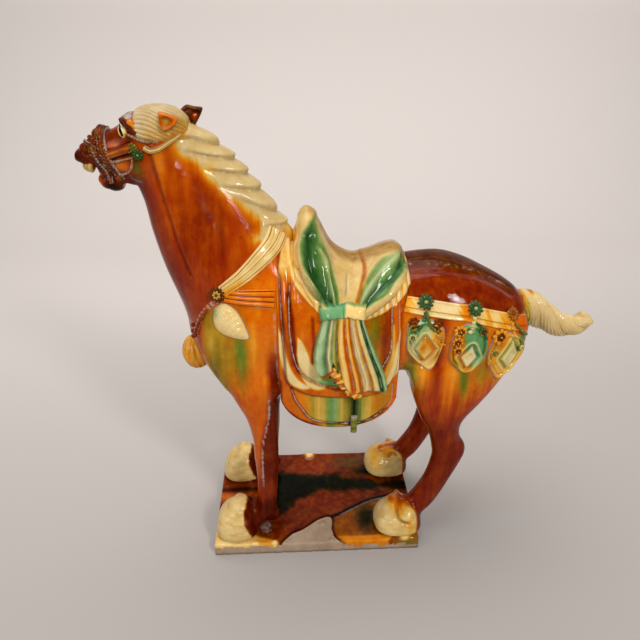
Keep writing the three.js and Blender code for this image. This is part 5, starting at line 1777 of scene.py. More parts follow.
def shell_lift(x, z, radius):
    """An almond with fine ribs that fan out from its point."""
    dx, dz = x - SHELL_POINT_X, z - SHELL_POINT_Z
    turn = np.arctan2(dz + 2, dx - 2.2) + 0.012 * (x - z)
    away = np.hypot(dx, dz)
    ribs = 0.5 + 0.5 * np.cos(turn * 120)
    rings = 0.5 + 0.5 * np.cos(away * 5.5)
    fine = (0.09 * ribs + 0.07 * rings) * (1 - radius**4)
    return 1.5 * dome(radius) - 0.3 + fine


parts = []
for side in (NEAR, FAR):
    for number, (outline, lozenge, bosses, stem) in enumerate(PLATES):
        x, z, radius, within, lift = plate(outline, lozenge, bosses, stem, 66 if side == NEAR else 34)
        face, back = laid_disc(body, x, z, side, lift)
        parts.append((face, back, glaze_plate(number, x, z, radius, within)))
    x, z, radius = outlined(SHELL, 84 if side == NEAR else 40)
    face, back = laid_disc(body, x, z, side, shell_lift(x, z, radius))
    coat = Coat(x.shape, amber=0.14)
    coat.dab(x, z, 1, (0.7, -20.9, 60.6, 1.2, 1.4, 0.1, 0.45, 0.2))
    coat.draw(smooth(radius, 0.92, 0.97))
    parts.append((face, back, coat.marks))
ride(make_piece("hanging_plates_and_shells", *gather(parts)))


# %% Tail, bell and the strings of beads
# The tail: x, z and radius.
TAIL = [
    [45.5, 56.6, 3], [49, 55.4, 3.5], [52.6, 53, 3.25], [56.6, 50.6, 2.75], [60.2, 50, 2.35],
    [62.6, 51, 2.1], [64.2, 52.6, 1.8]
]
TAIL_STRANDS, TAIL_TURNS, TAIL_HAIRS = 3, 1.3, 21
# Each run of glaze: its strength, width and line, and its amber, green and dark.
TAIL_RUNS = (
    (0.9, 0.9, trace(43.4, 61.6, 46.2, 58.6, 46.8, 55, 46.4, 52), 1.5, 0, 0.4),
    (0.8, 0.4, trace(45.4, 62, 49.4, 59.2), 1.6, 0, 0.6),
    (0.6, 0.4, trace(47.9, 57.6, 48.6, 53.4), 0.7, 0.3, 0),
)


def tail_relief(s, angle):
    twist = angle + 2 * math.pi * TAIL_TURNS * s
    strands = np.abs(np.sin(TAIL_STRANDS / 2 * twist)) ** 0.7
    return 0.84 + 0.2 * strands + 0.035 * np.cos(TAIL_HAIRS * twist + 5 * s)


def press_tail(count, across):
    row = curve_through(TAIL, np.linspace(0, 1, count))
    centre = np.stack([row[:, 0], np.zeros(count), row[:, 1]], 1)
    end = np.clip((np.linspace(0, 1, count) - 0.91) / 0.09, 0, 0.995)
    return tube(centre, row[:, 2] * np.sqrt(1 - end**2), across, tail_relief)


points, quads, s = press_tail(count=160, across=104)
x, z = points[:, 0], points[:, 2]
coat = Coat(x.shape, amber=0.13, dark=0.13)
for share, width, line, *tint in TAIL_RUNS:
    coat.lay(share * stroke(x, z, line, width), *tint)
ride(make_piece("tail", points, quads, coat.marks))

BELL_TOP, BELL_FOOT = np.array([-28.2, 0, 49.6]), np.array([-26.4, 0, 41.4])
BELL_RADIUS, BELL_RIBS = 3.1, 14


def press_bell(count, across):
    """A closed bud with deep ribs from top to foot."""
    share = (1 - np.cos(np.linspace(0.04, math.pi - 0.04, count))) / 2
    line = BELL_TOP + share[:, None] * (BELL_FOOT - BELL_TOP)
    radius = BELL_RADIUS * np.sqrt(1 - (2 * share - 1) ** 2) * (1 + 0.12 * (2 * share - 1))
    return tube(line, radius, across, lambda s, angle: 1 + 0.045 * np.cos(BELL_RIBS * angle))


points, quads, s = press_bell(count=50, across=84)
coat = Coat(len(points), amber=0.9)
turn = np.arctan2(points[:, 1], points[:, 0] + 27.3)
coat.lay(0.5 + 0.5 * np.cos(BELL_RIBS * turn), amber=0.4)
coat.lay(0.6 * smooth(44.5 - points[:, 2], 0, 3), amber=1.3, green=0.1)
ride(make_piece("bell", points, quads, coat.marks))

# %% [markdown]
# ## Flowers and beads
#
# Every flower is a ring of long petals round a boss, and the cords of the bridle are rows
# of beads. All of them are the same small bud of clay, so one tree of geometry nodes sets a
# bud on each point, turned square to the skin, stretched and coloured as the point says.

# %% The tree that sets a bud on every point
def bud_tree():
    tree = bpy.data.node_groups.new("buds on points", "GeometryNodeTree")
    tree.interface.new_socket("Points", in_out="INPUT", socket_type="NodeSocketGeometry")
    for label, value in (("Bud size", 1), ("Unevenness", 0.14)):
        socket = tree.interface.new_socket(label, in_out="INPUT", socket_type="NodeSocketFloat")
        socket.default_value = value
    socket = tree.interface.new_socket("Seed", in_out="INPUT", socket_type="NodeSocketInt")
    socket.default_value = 7
    tree.interface.new_socket("Buds", in_out="OUTPUT", socket_type="NodeSocketGeometry")
    given = tree.nodes.new("NodeGroupInput").outputs

    def named(name):
        return wire(tree, "GeometryNodeInputNamedAttribute", [name], data_type="FLOAT_VECTOR")

    bud = wire(tree, "GeometryNodeMeshUVSphere", {"Segments": 8, "Rings": 6, "Radius": UNIT})
    spread = wire(tree, "FunctionNodeRandomValue", {2: -1, 3: 1, "Seed": given["Seed"]}, output=1)
    scale = calc(tree, "MULTIPLY_ADD", spread, given["Unevenness"], given["Bud size"])
    grown = wire(tree, "ShaderNodeVectorMath", {0: named("stretch"), "Scale": scale}, operation="SCALE")
    axes = [named("facing"), named("lengthwise")]
    turned = wire(tree, "FunctionNodeAxesToRotation", axes, primary_axis="Z", secondary_axis="X")
    places = {"Points": given["Points"], "Instance": bud, "Rotation": turned, "Scale": grown}
    set_out = wire(tree, "GeometryNodeInstanceOnPoints", places)
    real = wire(tree, "GeometryNodeRealizeInstances", [set_out])
    round_off = wire(tree, "GeometryNodeSetShadeSmooth", [real])
    dressed = wire(tree, "GeometryNodeSetMaterial", {"Geometry": round_off, "Material": glaze})
    tree.links.new(dressed, tree.nodes.new("NodeGroupOutput").inputs["Buds"])
    return tree


bud_nodes = bud_tree()
DIRECTIONS = ("facing", "lengthwise", "stretch")


class Buds:
    """Points for the buds of one piece, on one block of clay."""

    def __init__(self, clay):
        self.clay = clay
        self.rows = []

    def put(self, place, facing, lengthwise, stretch, amber=1, green=0, dark=0, line=0):
        self.rows.append((*place, *facing, *lengthwise, *stretch, amber, green, dark, line))

    def flower(self, x, z, side, radius, petals, tint, heart, rise=0.3):
        """Petals in a ring round a boss, square to the skin at (x, z)."""
        place = self.clay.settle(np.array([[x, self.clay.face([x], [z], side)[0], z]]))
        out = self.clay.slope(place, 1)[0]
        up = np.array([0, 0, 1]) - out * out[2]
        up /= np.linalg.norm(up)
        across = np.cross(up, out)
        for k in range(petals):
            angle = 2 * math.pi * (k + 0.25) / petals
            ray = math.cos(angle) * up + math.sin(angle) * across
            at = place[0] + ray * radius * 0.62 + out * rise
            self.put(at, out, ray, (0.42 * radius, 0.72 * radius * math.pi / petals, 0.34), *tint)
        self.put(place[0] + out * (rise + 0.1), out, up, (0.27 * radius, 0.27 * radius, 0.42), *heart)
        self.put(place[0], out, up, (0.8 * radius, 0.8 * radius, rise), 1, 0, 1.2, 0.6)

    def string(self, line, side, gap, stretch, tint, rise=0.2):
        """A row of beads along a line on the skin."""
        _, length = path_on(self.clay, line, side, 12)
        points, _ = path_on(self.clay, line, side, max(int(length / gap), 3))
        for at, out, ahead in zip(points, self.clay.slope(points), np.gradient(points, axis=0)):
            self.put(at + out * rise, out, ahead / np.linalg.norm(ahead), stretch, *tint)

    def grow(self, name, size=1.0):
        """Runs the tree and gives back a plain piece."""
        rows = np.array(self.rows)
        mesh = bpy.data.meshes.new(name)
        set_places(mesh, rows[:, :3])
        for k, label in enumerate(DIRECTIONS):
            set_mark(mesh, label, rows[:, 3 + 3 * k : 6 + 3 * k])
        for k, label in enumerate(("amber", "green", "dark", "line")):
            set_mark(mesh, label, rows[:, 12 + k])
        source = placed(name, mesh)
        modifier = source.modifiers.new("buds", "NODES")
        modifier.node_group = bud_nodes
        for socket in bud_nodes.interface.items_tree:
            if socket.in_out == "INPUT" and socket.name == "Bud size":
                modifier[socket.identifier] = size
        seen = source.evaluated_get(bpy.context.evaluated_depsgraph_get())
        plain = bpy.data.meshes.new_from_object(seen)
        source.modifiers.clear()
        bpy.data.objects.remove(source)
        for label in DIRECTIONS:
            if label in plain.attributes:
                plain.attributes.remove(plain.attributes[label])
        print(name, len(rows), "buds", len(plain.polygons), "faces")
        return placed(name, plain)


# %% Flowers of the harness and the beads on the chest
LEAF_GREEN, BRIGHT, IRON, GOLD = (0.2, 0.85, 0.6), (0.1, 0.35, 0), (1.9, 0, 0.6), (0.75, 0, 0.05)
STRAW, BROWN, MOSS, PALE = (0.4, 0, 0.25), (1.2, 0, 1.1), (0.4, 0.5, 0.4), (0.12, 0.12, 0)
RUST = (1.1, 0.1, 0.4)
# Each scroll end: its x and z, its radius, and the glaze of its curl and its eye.
CURLS = (
    (20.3, 58.3, 0.95, BROWN, IRON), (25.2, 58.1, 0.9, BROWN, IRON), (25.9, 55.6, 0.75, GOLD, STRAW),
    (20.1, 55.3, 0.7, PALE, MOSS), (30, 56.6, 1.05, GOLD, BROWN), (29.7, 54.1, 0.95, GOLD, BROWN),
    (30.2, 51.9, 0.85, GOLD, BROWN), (34.9, 56.2, 0.8, MOSS, BROWN), (38.7, 54.6, 1.35, GOLD, BROWN),
    (38.1, 50.9, 0.85, STRAW, MOSS), (37.7, 48.3, 0.75, GOLD, STRAW), (44.1, 51, 0.8, MOSS, PALE),
)
# Each leafy scroll: its line, the gap between its buds, their stretch and their glaze.
LEAVES = (
    (trace(22.6, 60.3, 22.2, 58.8, 21.4, 57.2, 20.6, 56.6), 0.6, (0.55, 0.42, 0.3), LEAF_GREEN),
    (trace(22.9, 60.3, 23.4, 58.6, 24.2, 57.2, 25.3, 56.6), 0.6, (0.55, 0.42, 0.3), MOSS),
    (trace(32.7, 59.2, 32.5, 57.8, 32, 56.4), 0.6, (0.55, 0.6, 0.34), PALE),
    (trace(33.1, 58.2, 34.2, 57.2, 35.6, 54.8), 0.6, (0.5, 0.36, 0.3), LEAF_GREEN),
    (trace(41.4, 56.6, 41.6, 55.2, 42.4, 54), 0.6, (0.5, 0.4, 0.3), GOLD),
    (trace(42.4, 56.2, 43.8, 54.6, 45.2, 53.4), 0.6, (0.5, 0.34, 0.3), MOSS),
    (trace(24.6, 54.8, 25.6, 53.9, 26.9, 53.6), 0.5, (0.42, 0.28, 0.26), GOLD),
)
# Each flower: its x and z, radius, petals, the glaze of the petals and the boss, and its rise.
ROSETTES = (
    (22.7, 62.3, 1.75, 10, LEAF_GREEN, BRIGHT, 0.75), (32.8, 60.9, 1.75, 10, LEAF_GREEN, BRIGHT, 0.75),
    (41.6, 58.3, 1.6, 10, RUST, IRON, 0.75), (-19.9, 64.4, 1.75, 12, BROWN, IRON, 0.6),
    (-19.9, 64.4, 0.95, 7, STRAW, BROWN, 0.9),
)
CHEST_BEADS, BELL_LOOP = trace(-22.4, 60.6, -24.2, 57.2, -25.4, 54), trace(-26, 55.6, -26.2, 52.6)
buds = Buds(body)
for side in (NEAR, FAR):
    for x, z, *look in ROSETTES:
        buds.flower(x, z, side, *look)
    for x, z, radius, tint, heart in CURLS:
        buds.flower(x, z, side, 1.35 * radius, 8, tint, heart, 0.55)
        buds.flower(x, z, side, 0.75 * radius, 5, heart, tint, 0.85)
    for line, gap, stretch, tint in LEAVES:
        buds.string(line, side, gap, stretch, tint, 0.65)
    buds.string(CHEST_BEADS, side, 0.62, (0.4, 0.4, 0.4), IRON, 0.5)
buds.string(BELL_LOOP, NEAR, 0.8, (0.55, 0.55, 0.5), IRON, 0.4)
ride(buds.grow("harness_flowers"))

# %% [markdown]
# ## Forelock, ears and teeth
#
# The hair between the ears is combed back from the brow in fine incised lines. The ears are
# small cups of clay that point back, and a strip of teeth was pressed under the upper lip.

# %% Hair over the brow
HAIR_MIDDLE, HAIR_SIZE, HAIR_TURN = np.array([-28.3, 0, 94.4]), np.array([5.3, 4.9, 5.4]), 1.78
# Each amber stain: its strength, its x and z, and its reach across and down.
HAIR_STAINS = (
    (0.35, -30.4, 95, 1.5, 1), (0.9, -26.6, 94.6, 2, 1.3), (0.5, -27.6, 97, 1.9, 0.9),
    (0.5, -24.6, 95.6, 1.2, 1.6),
)


def press_forelock(columns, rows):
    along, turn = lattice(columns, rows)
    turn = HAIR_TURN * turn
    x, y = along * 0.99, np.sin(turn) * np.sqrt(1 - (0.93 * along) ** 2)
    z = np.cos(turn) * np.sqrt(1 - (0.93 * along) ** 2)
    ball = HAIR_MIDDLE + HAIR_SIZE * np.stack([x, y, z], -1)
    flat, normal = head.lie(ball, 3, 0.9)
    comb = np.abs(turn) - 0.085 * (flat[..., 0] + 33) + 0.05 * np.sin(0.9 * flat[..., 0] + 2 * turn)
    strands = np.abs(np.sin(19 * comb)) ** 0.5
    front = smooth(-flat[..., 0], 22.8, 24.6)
    edge = smooth(1 - np.abs(along), 0, 0.16) * smooth(HAIR_TURN - np.abs(turn), 0, 0.28)
    fine = 0.03 * np.cos(95 * comb)
    lift = -0.35 + edge * (0.55 + 0.3 * strands * front + fine)
    face = flat + normal * lift[..., None]
    coat = Coat(x.shape, amber=0.1, dark=0.26)
    coat.draw(0.75 * smooth(0.4 - strands, 0, 0.25) * front * edge * smooth(np.abs(turn), 0, 0.1))
    for share, *place in HAIR_STAINS:
        coat.add(share * spot(flat[..., 0], flat[..., 2], *place), amber=0.7)
    coat.draw(0.5 * smooth(along, 0.9, 0.97))
    return face, flat - normal * 1.2, coat.marks


NEAR_EAR = trace(-28.7, 99.2, -27, 98.9, -25, 97.9, -26.2, 96.5, -27.7, 96, -28.4, 96.8, -28.6, 98)
NEAR_HOLE = trace(-28.1, 98.1, -27.1, 98.2, -26.3, 97.6, -27.1, 97, -28, 97.1)
FAR_EAR = trace(
    -25.9, 98.4, -24.8, 99.2, -23.2, 98.9, -21.7, 98.7, -21.8, 97.8, -22.9, 95.9, -23.4, 95.3, -24.8, 96.4
)
FAR_HOLE = trace(-23.6, 98.1, -22.1, 97.8, -22.5, 96.9, -23.3, 96.2, -24, 97.2)


def cup(outline, hole, at_y, lean, thick, count, tint, heart):
    """A pointed ear: a leaf of clay with a rolled rim round a hollow."""
    x, z, radius = outlined(outline, count)
    within = inside(x, z, hole)
    lift = 0.3 * bump(radius, 0.8, 0.15) - 0.55 * smooth(radius, 0.86, 1) ** 2
    lift = lift - 0.75 * smooth(within, -0.25, 0.45) + 0.15 * bump(within, -0.35, 0.2)
    y = at_y - lean * (z - 97.5)
    face = np.stack([x, y - lift, z], -1)
    back = np.stack([x, y + 0.55 + thick * dome(radius), z], -1)
    coat = Coat(x.shape, *tint)
    coat.lay(smooth(within, -0.05, 0.3), *heart)
    coat.add(bump(within, -0.3, 0.2), dark=0.35)
    coat.draw(0.4 * smooth(radius, 0.9, 0.97))
    return face, back, coat.marks


ear_parts = [
    cup(NEAR_EAR, NEAR_HOLE, -5.1, -0.45, 0.9, 28, (1.35, 0, 0.1), (0.35, 0.05, 0.25)),
    cup(FAR_EAR, FAR_HOLE, 3.4, -0.25, 1.8, 28, (1.4, 0, 1.2), (1.9, 0, 0.3)),
    press_forelock(columns=110, rows=132),
]
ride(make_piece("forelock_and_ears", *gather(ear_parts)))


# %% Teeth and eyes
TEETH = 8


def press_teeth(count=90, across=26):
    """A strip bent round the jaw, with a notch between every two teeth."""
    turn = np.linspace(-1.35, 1.35, count)
    centre = np.stack([-42.3 - 2 * np.cos(turn), 2.1 * np.sin(turn), 88.6 + 0.1 * np.cos(turn)], 1)

    def notches(s):
        return np.abs(np.sin(s * math.pi * TEETH))

    radius = 0.95 * round_ends(count, 12)
    points, quads, s = tube(centre, radius, across, lambda s, angle: 1 + 0.08 * notches(s))
    coat = Coat(s.shape, amber=0.25, dark=0.2)
    coat.add(smooth(0.2 - notches(s), 0, 0.15), dark=0.8)
    return points, quads, coat.marks


ride(make_piece("teeth", *press_teeth()))
EYE = trace(-36.4, 97.4, -36.9, 96, -36.3, 94.8, -35.4, 94.5, -34.9, 95.5, -35.6, 96.8)
PUPIL = trace(-36.45, 96.35, -36.15, 95.65, -35.85, 95)


def press_eye(side):
    x, z, radius = outlined(EYE, count=30)
    lift = 0.5 * dome(radius / 0.8) + 0.3 * bump(radius, 0.9, 0.08) - 0.1
    face, back = laid_disc(head, x, z, side, lift)
    coat = Coat(x.shape, amber=0)
    coat.lay(smooth(stroke(x, z, PUPIL, 0.34), 0.45, 0.6), dark=3.5)
    coat.add(spot(x, z, -35.1, 94.9, 0.55, 0.6), amber=0.6)
    coat.lay(smooth(radius, 0.82, 0.92), amber=0.8, dark=0.5)
    return face, back, coat.marks


BROW_STRIPE = curve(-35.9, 97.6, -35.3, 96.9, -34.1, 96, -33, 95.2)
BROW_LOBE = trace(-34.9, 97.8, -34, 97.7, -33.3, 96.9, -32.8, 95.9, -33.3, 95.7, -34.2, 96.5, -34.9, 97.2)


def press_brow(side):
    """The raised lobe over the eye, amber above a dark stripe."""
    x, z, radius = outlined(BROW_LOBE, count=26)
    lift = 0.75 * dome(radius) - 0.15
    face, back = laid_disc(head, x, z, side, lift)
    coat = Coat(x.shape, amber=1.3, dark=0.12)
    coat.add(smooth(radius, 0.7, 1), amber=0.4, dark=0.8)
    return face, back, coat.marks


def press_stripe(side):
    face, back, s, _ = ribbon(head, BROW_STRIPE, side, 0.75, rolls(1, 0.3), count=30, across=9, sink=0.4)
    return face, back, Coat(s.shape, amber=1.8, dark=1.4).marks


eye_parts = [press(side) for side in (NEAR, FAR) for press in (press_eye, press_brow, press_stripe)]
ride(make_piece("eyes_and_brows", *gather(eye_parts)))

# %% [markdown]
# ## The bridle
#
# Flat straps with beaded edges: one round the nose, one to the corner of the mouth, cheek
# straps that meet under a flower, and a throat-latch. Glaze drew back from their edges and
# left them grey.

# %% Straps of the bridle
NOSE_BAND = trace(
    -40.4, 95.9, -40.5, 95, -40.2, 93.5, -39.8, 91.7, -39.3, 90, -38.5, 88.4, -37.9, 87, -37.6, 86.2
)
MOUTH_BAND = trace(-43.2, 93.5, -42, 92.8, -41.6, 91.4, -41, 90, -40.4, 88.6, -40, 87.2, -39.8, 85.6)
CHEEK_BAND = trace(-39.2, 91.4, -36.9, 92.1, -34.2, 93)
CHEEK_CORD = trace(-38.8, 90, -36.4, 90.5, -34.2, 91.1)
JAW_CORD = trace(-34.2, 90.9, -34.6, 89.3, -35.4, 88.3, -37.6, 87.3)
BROW_CORD = trace(-34.9, 95.1, -33.1, 94.4, -31.6, 93.9, -29.4, 93.8)
THROAT_LATCH = trace(-31.9, 92.9, -30.8, 92.3, -29.2, 92.6, -27.6, 93.5, -25.4, 94.8)


def bridle_glaze(s, t, amber, dark, grey, edges):
    coat = Coat(s.shape, amber=amber, dark=dark)
    coat.add(smooth(np.abs(t), 0.55, 0.85) * (1 - smooth(np.abs(t), 0.85, 1)), dark=0.6)
    coat.draw(grey)
    coat.draw(edges * smooth(np.abs(t), 0.72, 0.95))
    return coat.marks


# Each strap: line, width, profile, points along and across, and amber, dark, grey and edge lines.
BRIDLE = (
    (NOSE_BAND, 1.9, rolls(3, 0.3), 70, 17, (1.5, 0.9, 0.2, 0.75)),
    (MOUTH_BAND, 1.1, rolls(2, 0.3), 70, 11, (1.4, 0.9, 0.3, 0.7)),
    (CHEEK_BAND, 1.7, rolls(2, 0.35), 40, 13, (1.5, 0.4, 0, 0.4)),
    (CHEEK_CORD, 0.42, rolls(1, 0.1), 40, 7, (0.8, 0.5, 0.4, 0.6)),
    (JAW_CORD, 0.42, rolls(1, 0.1), 40, 7, (0.8, 0.5, 0.4, 0.6)),
    (BROW_CORD, 0.6, rolls(2, 0.15), 40, 9, (0.7, 0.6, 0.3, 0.6)),
    (THROAT_LATCH, 1, rolls(2, 0.45), 50, 13, (0.22, 0.08, 0, 0.7)),
)
parts = []
for side in (NEAR, FAR):
    for line, width, profile, count, across, tint in BRIDLE:
        face, back, s, t = ribbon(head, line, side, width, profile, count, across, sink=0.5)
        parts.append((face, back, bridle_glaze(s, t, *tint)))
ride(make_piece("bridle_straps", *gather(parts)))

# %% Beads and flowers of the bridle
GREY_BEAD, BROWN_BEAD = (0.9, 0, 0.7, 0.46), (1.4, 0, 0.8, 0.2)
CHEEK_STUDS = trace(-34.1, 93.2, -33.6, 92.9, -34.5, 92.4)
# Each small flower of the nose: x, z and radius.
SCROLLS = [
    [-42.9, 93, 0.55], [-42.3, 92.2, 0.6], [-41.6, 93.7, 0.6], [-41.3, 92.5, 0.5], [-41, 91.4, 0.5],
    [-41.9, 91.1, 0.45], [-40.6, 90.4, 0.4], [-43.4, 92.2, 0.4], [-42.2, 94.3, 0.45], [-40.9, 94.7, 0.45]
]
# Each string: its line, the gap between its beads, their stretch, glaze and rise.
BEAD_STRINGS = (
    (NOSE_BAND[2:-1] + [-0.62, 0.1], 0.55, (0.24, 0.22, 0.26), GREY_BEAD, 0.32),
    (NOSE_BAND[2:-1] + [0.62, 0.1], 0.55, (0.24, 0.22, 0.26), GREY_BEAD, 0.32),
    (NOSE_BAND[1:-1], 0.8, (0.34, 0.3, 0.3), BROWN_BEAD, 0.4),
    (MOUTH_BAND[1:-1], 0.5, (0.26, 0.22, 0.26), GREY_BEAD, 0.42),
    (CHEEK_CORD, 0.45, (0.22, 0.22, 0.24), GREY_BEAD, 0.3),
    (JAW_CORD, 0.45, (0.22, 0.22, 0.24), GREY_BEAD, 0.3),
    (BROW_CORD, 0.5, (0.24, 0.26, 0.24), GREY_BEAD, 0.35),
)
buds = Buds(head)
for side in (NEAR, FAR):
    for line, *look in BEAD_STRINGS:
        buds.string(line, side, *look)
    for number, (x, z, size) in enumerate(SCROLLS):
        tint = GREY_BEAD if number % 2 else BROWN_BEAD
        buds.flower(x, z, side, size, 5, tint[:3], BROWN_BEAD[:3], 0.3)
    buds.flower(-33.1, 91.5, side, 1.15, 9, (0.3, 0.9, 0.7), (0.3, 0.5, 0.1), 0.5)
    for x, z in CHEEK_STUDS:
        buds.flower(x, z, side, 0.6, 4, (0.5, 0.4, 0.5), BROWN_BEAD[:3], 0.35)
ride(buds.grow("bridle_beads"))

# %% [markdown]
# ## The plinth
#
# A slab cut from rolled clay, with the hooves luted to it before firing. Its top took every
# run that came off the legs: iron brown, a pool of copper and iron gone black, an olive
# tongue at the front and a patch where no glaze landed and the buff clay shows.

# %% Relief and glaze of the plinth
SLAB_HALF = np.array([0.1, 0.0655]) / UNIT
SLAB_FOOT, SLAB_TOP = -HOOF_BASE / UNIT, (0.013 - HOOF_BASE) / UNIT
SLAB_ROUND = 0.42
BARE_PATCH = curve(
    -9.4, -17.2, -6.4, -13.7, -3.6, -12.2, -1.4, -10.6, 0.4, -9.2, 3.2, -8.2, 4, -9.6, 3.8, -12.4, 4.4, -15,
    6.6, -17.2
)
OLIVE_TONGUE = curve(
    4.1, -8.6, 4, -12, 4.8, -15.2, 7.4, -17.4, 15, -17.4, 19, -15, 20.5, -6, 20.5, -1.6, 14.7, -2.9,
    9.4, -5.6, 6.2, -7.6
)
STRAW_CORNER = curve(-26, -17.5, -9.6, -17.5, -11.6, -14.6, -15, -13.2, -18, -7, -22, -6, -26, -7)
FLOW_LINE = curve(3.9, -8.4, 6.2, -7.4, 9.4, -5.4, 14.7, -2.6, 21, -1.3)
HOOF_PLACES = trace(-18.2, -9.9, -18.2, 9.9, 19.2, -12.4, 19.2, 12.4)
# Each drop on the plinth: its x and y, its size and its height.
SLAB_BEADS = [
    [1.6, -10.3, 0.75, 0.5], [3.6, -15.9, 0.7, 0.4], [-10.4, -16, 0.8, 0.35], [-1, 15.9, 1.9, 0.4],
    [-4.2, -16.2, 0.35, 0.2], [0.6, -16.3, 0.3, 0.2], [-22.8, -15.6, 1.9, 0.35], [21.5, -15.6, 1.6, 0.3],
    [-15.2, -16.4, 1.1, 0.25]
]


def drop(x, y, at_x, at_y, size, fullness):
    """A round drop of glaze, flatter on top and steeper at its edge where it is full."""
    return np.exp(-(((x - at_x) ** 2 + (y - at_y) ** 2) / size**2) ** fullness)


def slab_relief(x, y):
    lift = 0.05 * np.sin(0.31 * x + 0.5 * np.sin(0.4 * y)) + 0.05 * np.sin(0.43 * y - 0.17 * x)
    away, _ = line_distance(x, y, FLOW_LINE)
    lift = lift + 0.12 * bump(away, 0, 0.5)
    bare = smooth(inside(x, y, BARE_PATCH), -0.15, 0.25)
    lift = lift * (1 - bare) - 0.16 * bare
    for at_x, at_y, size, high in SLAB_BEADS:
        lift = lift + high * drop(x, y, at_x, at_y, size, 1.4)
    pits = np.clip(np.sin(5.1 * x + 2 * np.sin(3 * y)) * np.sin(4.7 * y + np.sin(4 * x)), 0, 1) ** 3
    patch = spot(x, y, -12.6, -10.6, 2.2, 3.2)
    # The glaze lay thick in a collar round each hoof.
    for at_x, at_y in HOOF_PLACES:
        ring = np.hypot((x - at_x) / 1.15, y - at_y) - 4.6
        lift = lift + 0.12 * bump(ring, 0, 0.9)
    return lift - 0.3 * pits * patch


def glaze_slab(x, y, z):
    coat = Coat(x.shape, amber=1.9, dark=0.9)
    stir = wobble(x * 0.3 + 0.8 * np.sin(0.3 * y), 2) + 0.6 * wobble(y * 0.5 + np.sin(0.2 * x), 6)
    coat.add(0.25 * stir, dark=0.3, amber=0.2)
    centre = np.interp(x, [-25, -10, 0, 12, 22, 26], [1, 1, 4.6, 3.6, 2.6, 2.4])
    half = np.interp(x, [-12, -9, -4, 3, 12, 20, 26], [7.5, 7.5, 4.6, 2.8, 1.5, 1, 0.8])
    band = smooth(half - np.abs(y - centre) + 0.5 * stir, -1.6, 1.4) * smooth(x, -15, -9)
    coat.lay(band, amber=0.9, green=1, dark=2)
    coat.dab(x, y, 1, (0.75, 1, 10.5, 6, 2.6, 1.9, 0, 0.6), (0.8, 1, -2.8, 7, 2.2, 2.1, 0, 0.75),
        (0.85, 11.5, 12.2, 6, 2.6, 1.4, 0.75, 0.35), (0.85, 14.5, 8.2, 3.5, 1.6, 0.8, 0.8, 2),
        (0.85, -23, 0.2, 5, 2.3, 1.35, 0, 0.05))
    coat.add(spot(x, y, -20, 2.6, 6, 0.8), dark=1.6)
    tongue = smooth(inside(x, y, OLIVE_TONGUE), -0.1, 0.35)
    coat.lay(tongue, amber=1.75, green=0.35, dark=0.15)
    coat.dab(x, y, tongue, (0.8, 12.8, -9, 2.2, 3.4, 0.9, 0.9, 1.9))
    coat.lay(tongue * smooth(-14.3 - y, 0, 0.7), amber=1.05, green=0.05)
    coat.dab(x, y, tongue, (0.9, 18.5, -3.6, 3.6, 1.4, 0.8, 0.3))
    coat.add(stroke(x, y, FLOW_LINE, 0.45), dark=1.5, green=0.4)
    rim = inside(x, y, BARE_PATCH)
    coat.add(bump(rim, -0.3, 0.35), dark=0.8)
    # Straw-coloured glaze that ran off the fore hoof to the front corner.
    corner = smooth(inside(x, y, STRAW_CORNER), -0.4, 0.8)
    coat.lay(corner, amber=0.22, dark=0.05)
    coat.dab(x, y, 1, (0.8, -13.2, -15.8, 2.6, 0.8, 1), (0.85, 22.5, -15, 3.2, 1.9, 0.3, 0.2),
        (0.8, -12.6, -10.6, 2, 3.4, 1.2, 0, 1.2))
    coat.draw(0.45 * spot(x, y, -12.6, -11, 1.9, 3))
    for at_x, at_y, size, _ in SLAB_BEADS:
        coat.lay(drop(x, y, at_x, at_y, 0.85 * size, 2), amber=0.15)
    # The sides were wiped, and glaze only crept over their upper edge.
    top = SLAB_TOP - 0.35
    creep = 0.35 + 0.3 * wobble(x * 0.9 + y, 4) + 0.9 * smooth(x, 5, 8) * (y < 0)
    side = smooth(top - creep - z, -0.15, 0.25) * smooth(top - z, -0.05, 0.1)
    coat.marks["bare"] = np.maximum(smooth(rim, -0.12, 0.2), side)
    edge = smooth(SLAB_TOP - 0.3 - z, -0.1, 0.2)
    coat.lay(edge * smooth(x, 18, 20) * (y < -15), amber=0.5, green=0.2, dark=0.6)
    return coat.marks


def press_slab(columns, rows):
    a, b = lattice(columns, rows)
    e = np.maximum(np.maximum(np.abs(a), np.abs(b)), 1e-6)
    flat = 0.9
    share = np.minimum(e / flat, 1)
    down = np.clip((e - flat) / (1 - flat), 0, 1)
    half = SLAB_HALF - SLAB_ROUND
    x, y = a / e * share * half[0], b / e * share * half[1]
    out_x = np.sign(a) * smooth(np.abs(a / e), 0.985, 1)
    out_y = np.sign(b) * smooth(np.abs(b / e), 0.98, 1)
    size = np.maximum(np.hypot(out_x, out_y), 1e-6)
    turn = np.clip(down / 0.4, 0, 1) * math.pi / 2
    wall = np.clip((down - 0.4) / 0.6, 0, 1)
    ragged = 0.1 * wobble(x * 1.3 + y * 1.7, 5) * wall
    reach = SLAB_ROUND * np.sin(turn) - 0.12 - np.abs(ragged)
    x, y = x + out_x / size * reach * (down > 0), y + out_y / size * reach * (down > 0)
    z = SLAB_TOP - SLAB_ROUND * (1 - np.cos(turn)) - wall * (SLAB_TOP - SLAB_ROUND - SLAB_FOOT - 0.12)
    z = z + slab_relief(x, y) * (1 - smooth(down, 0, 0.45)) - 0.12
    face = np.stack([x, y, z], -1)
    inset = SLAB_HALF - 0.75
    back = np.stack([a * inset[0], b * inset[1], np.full_like(a, SLAB_FOOT)], -1)
    return face, back


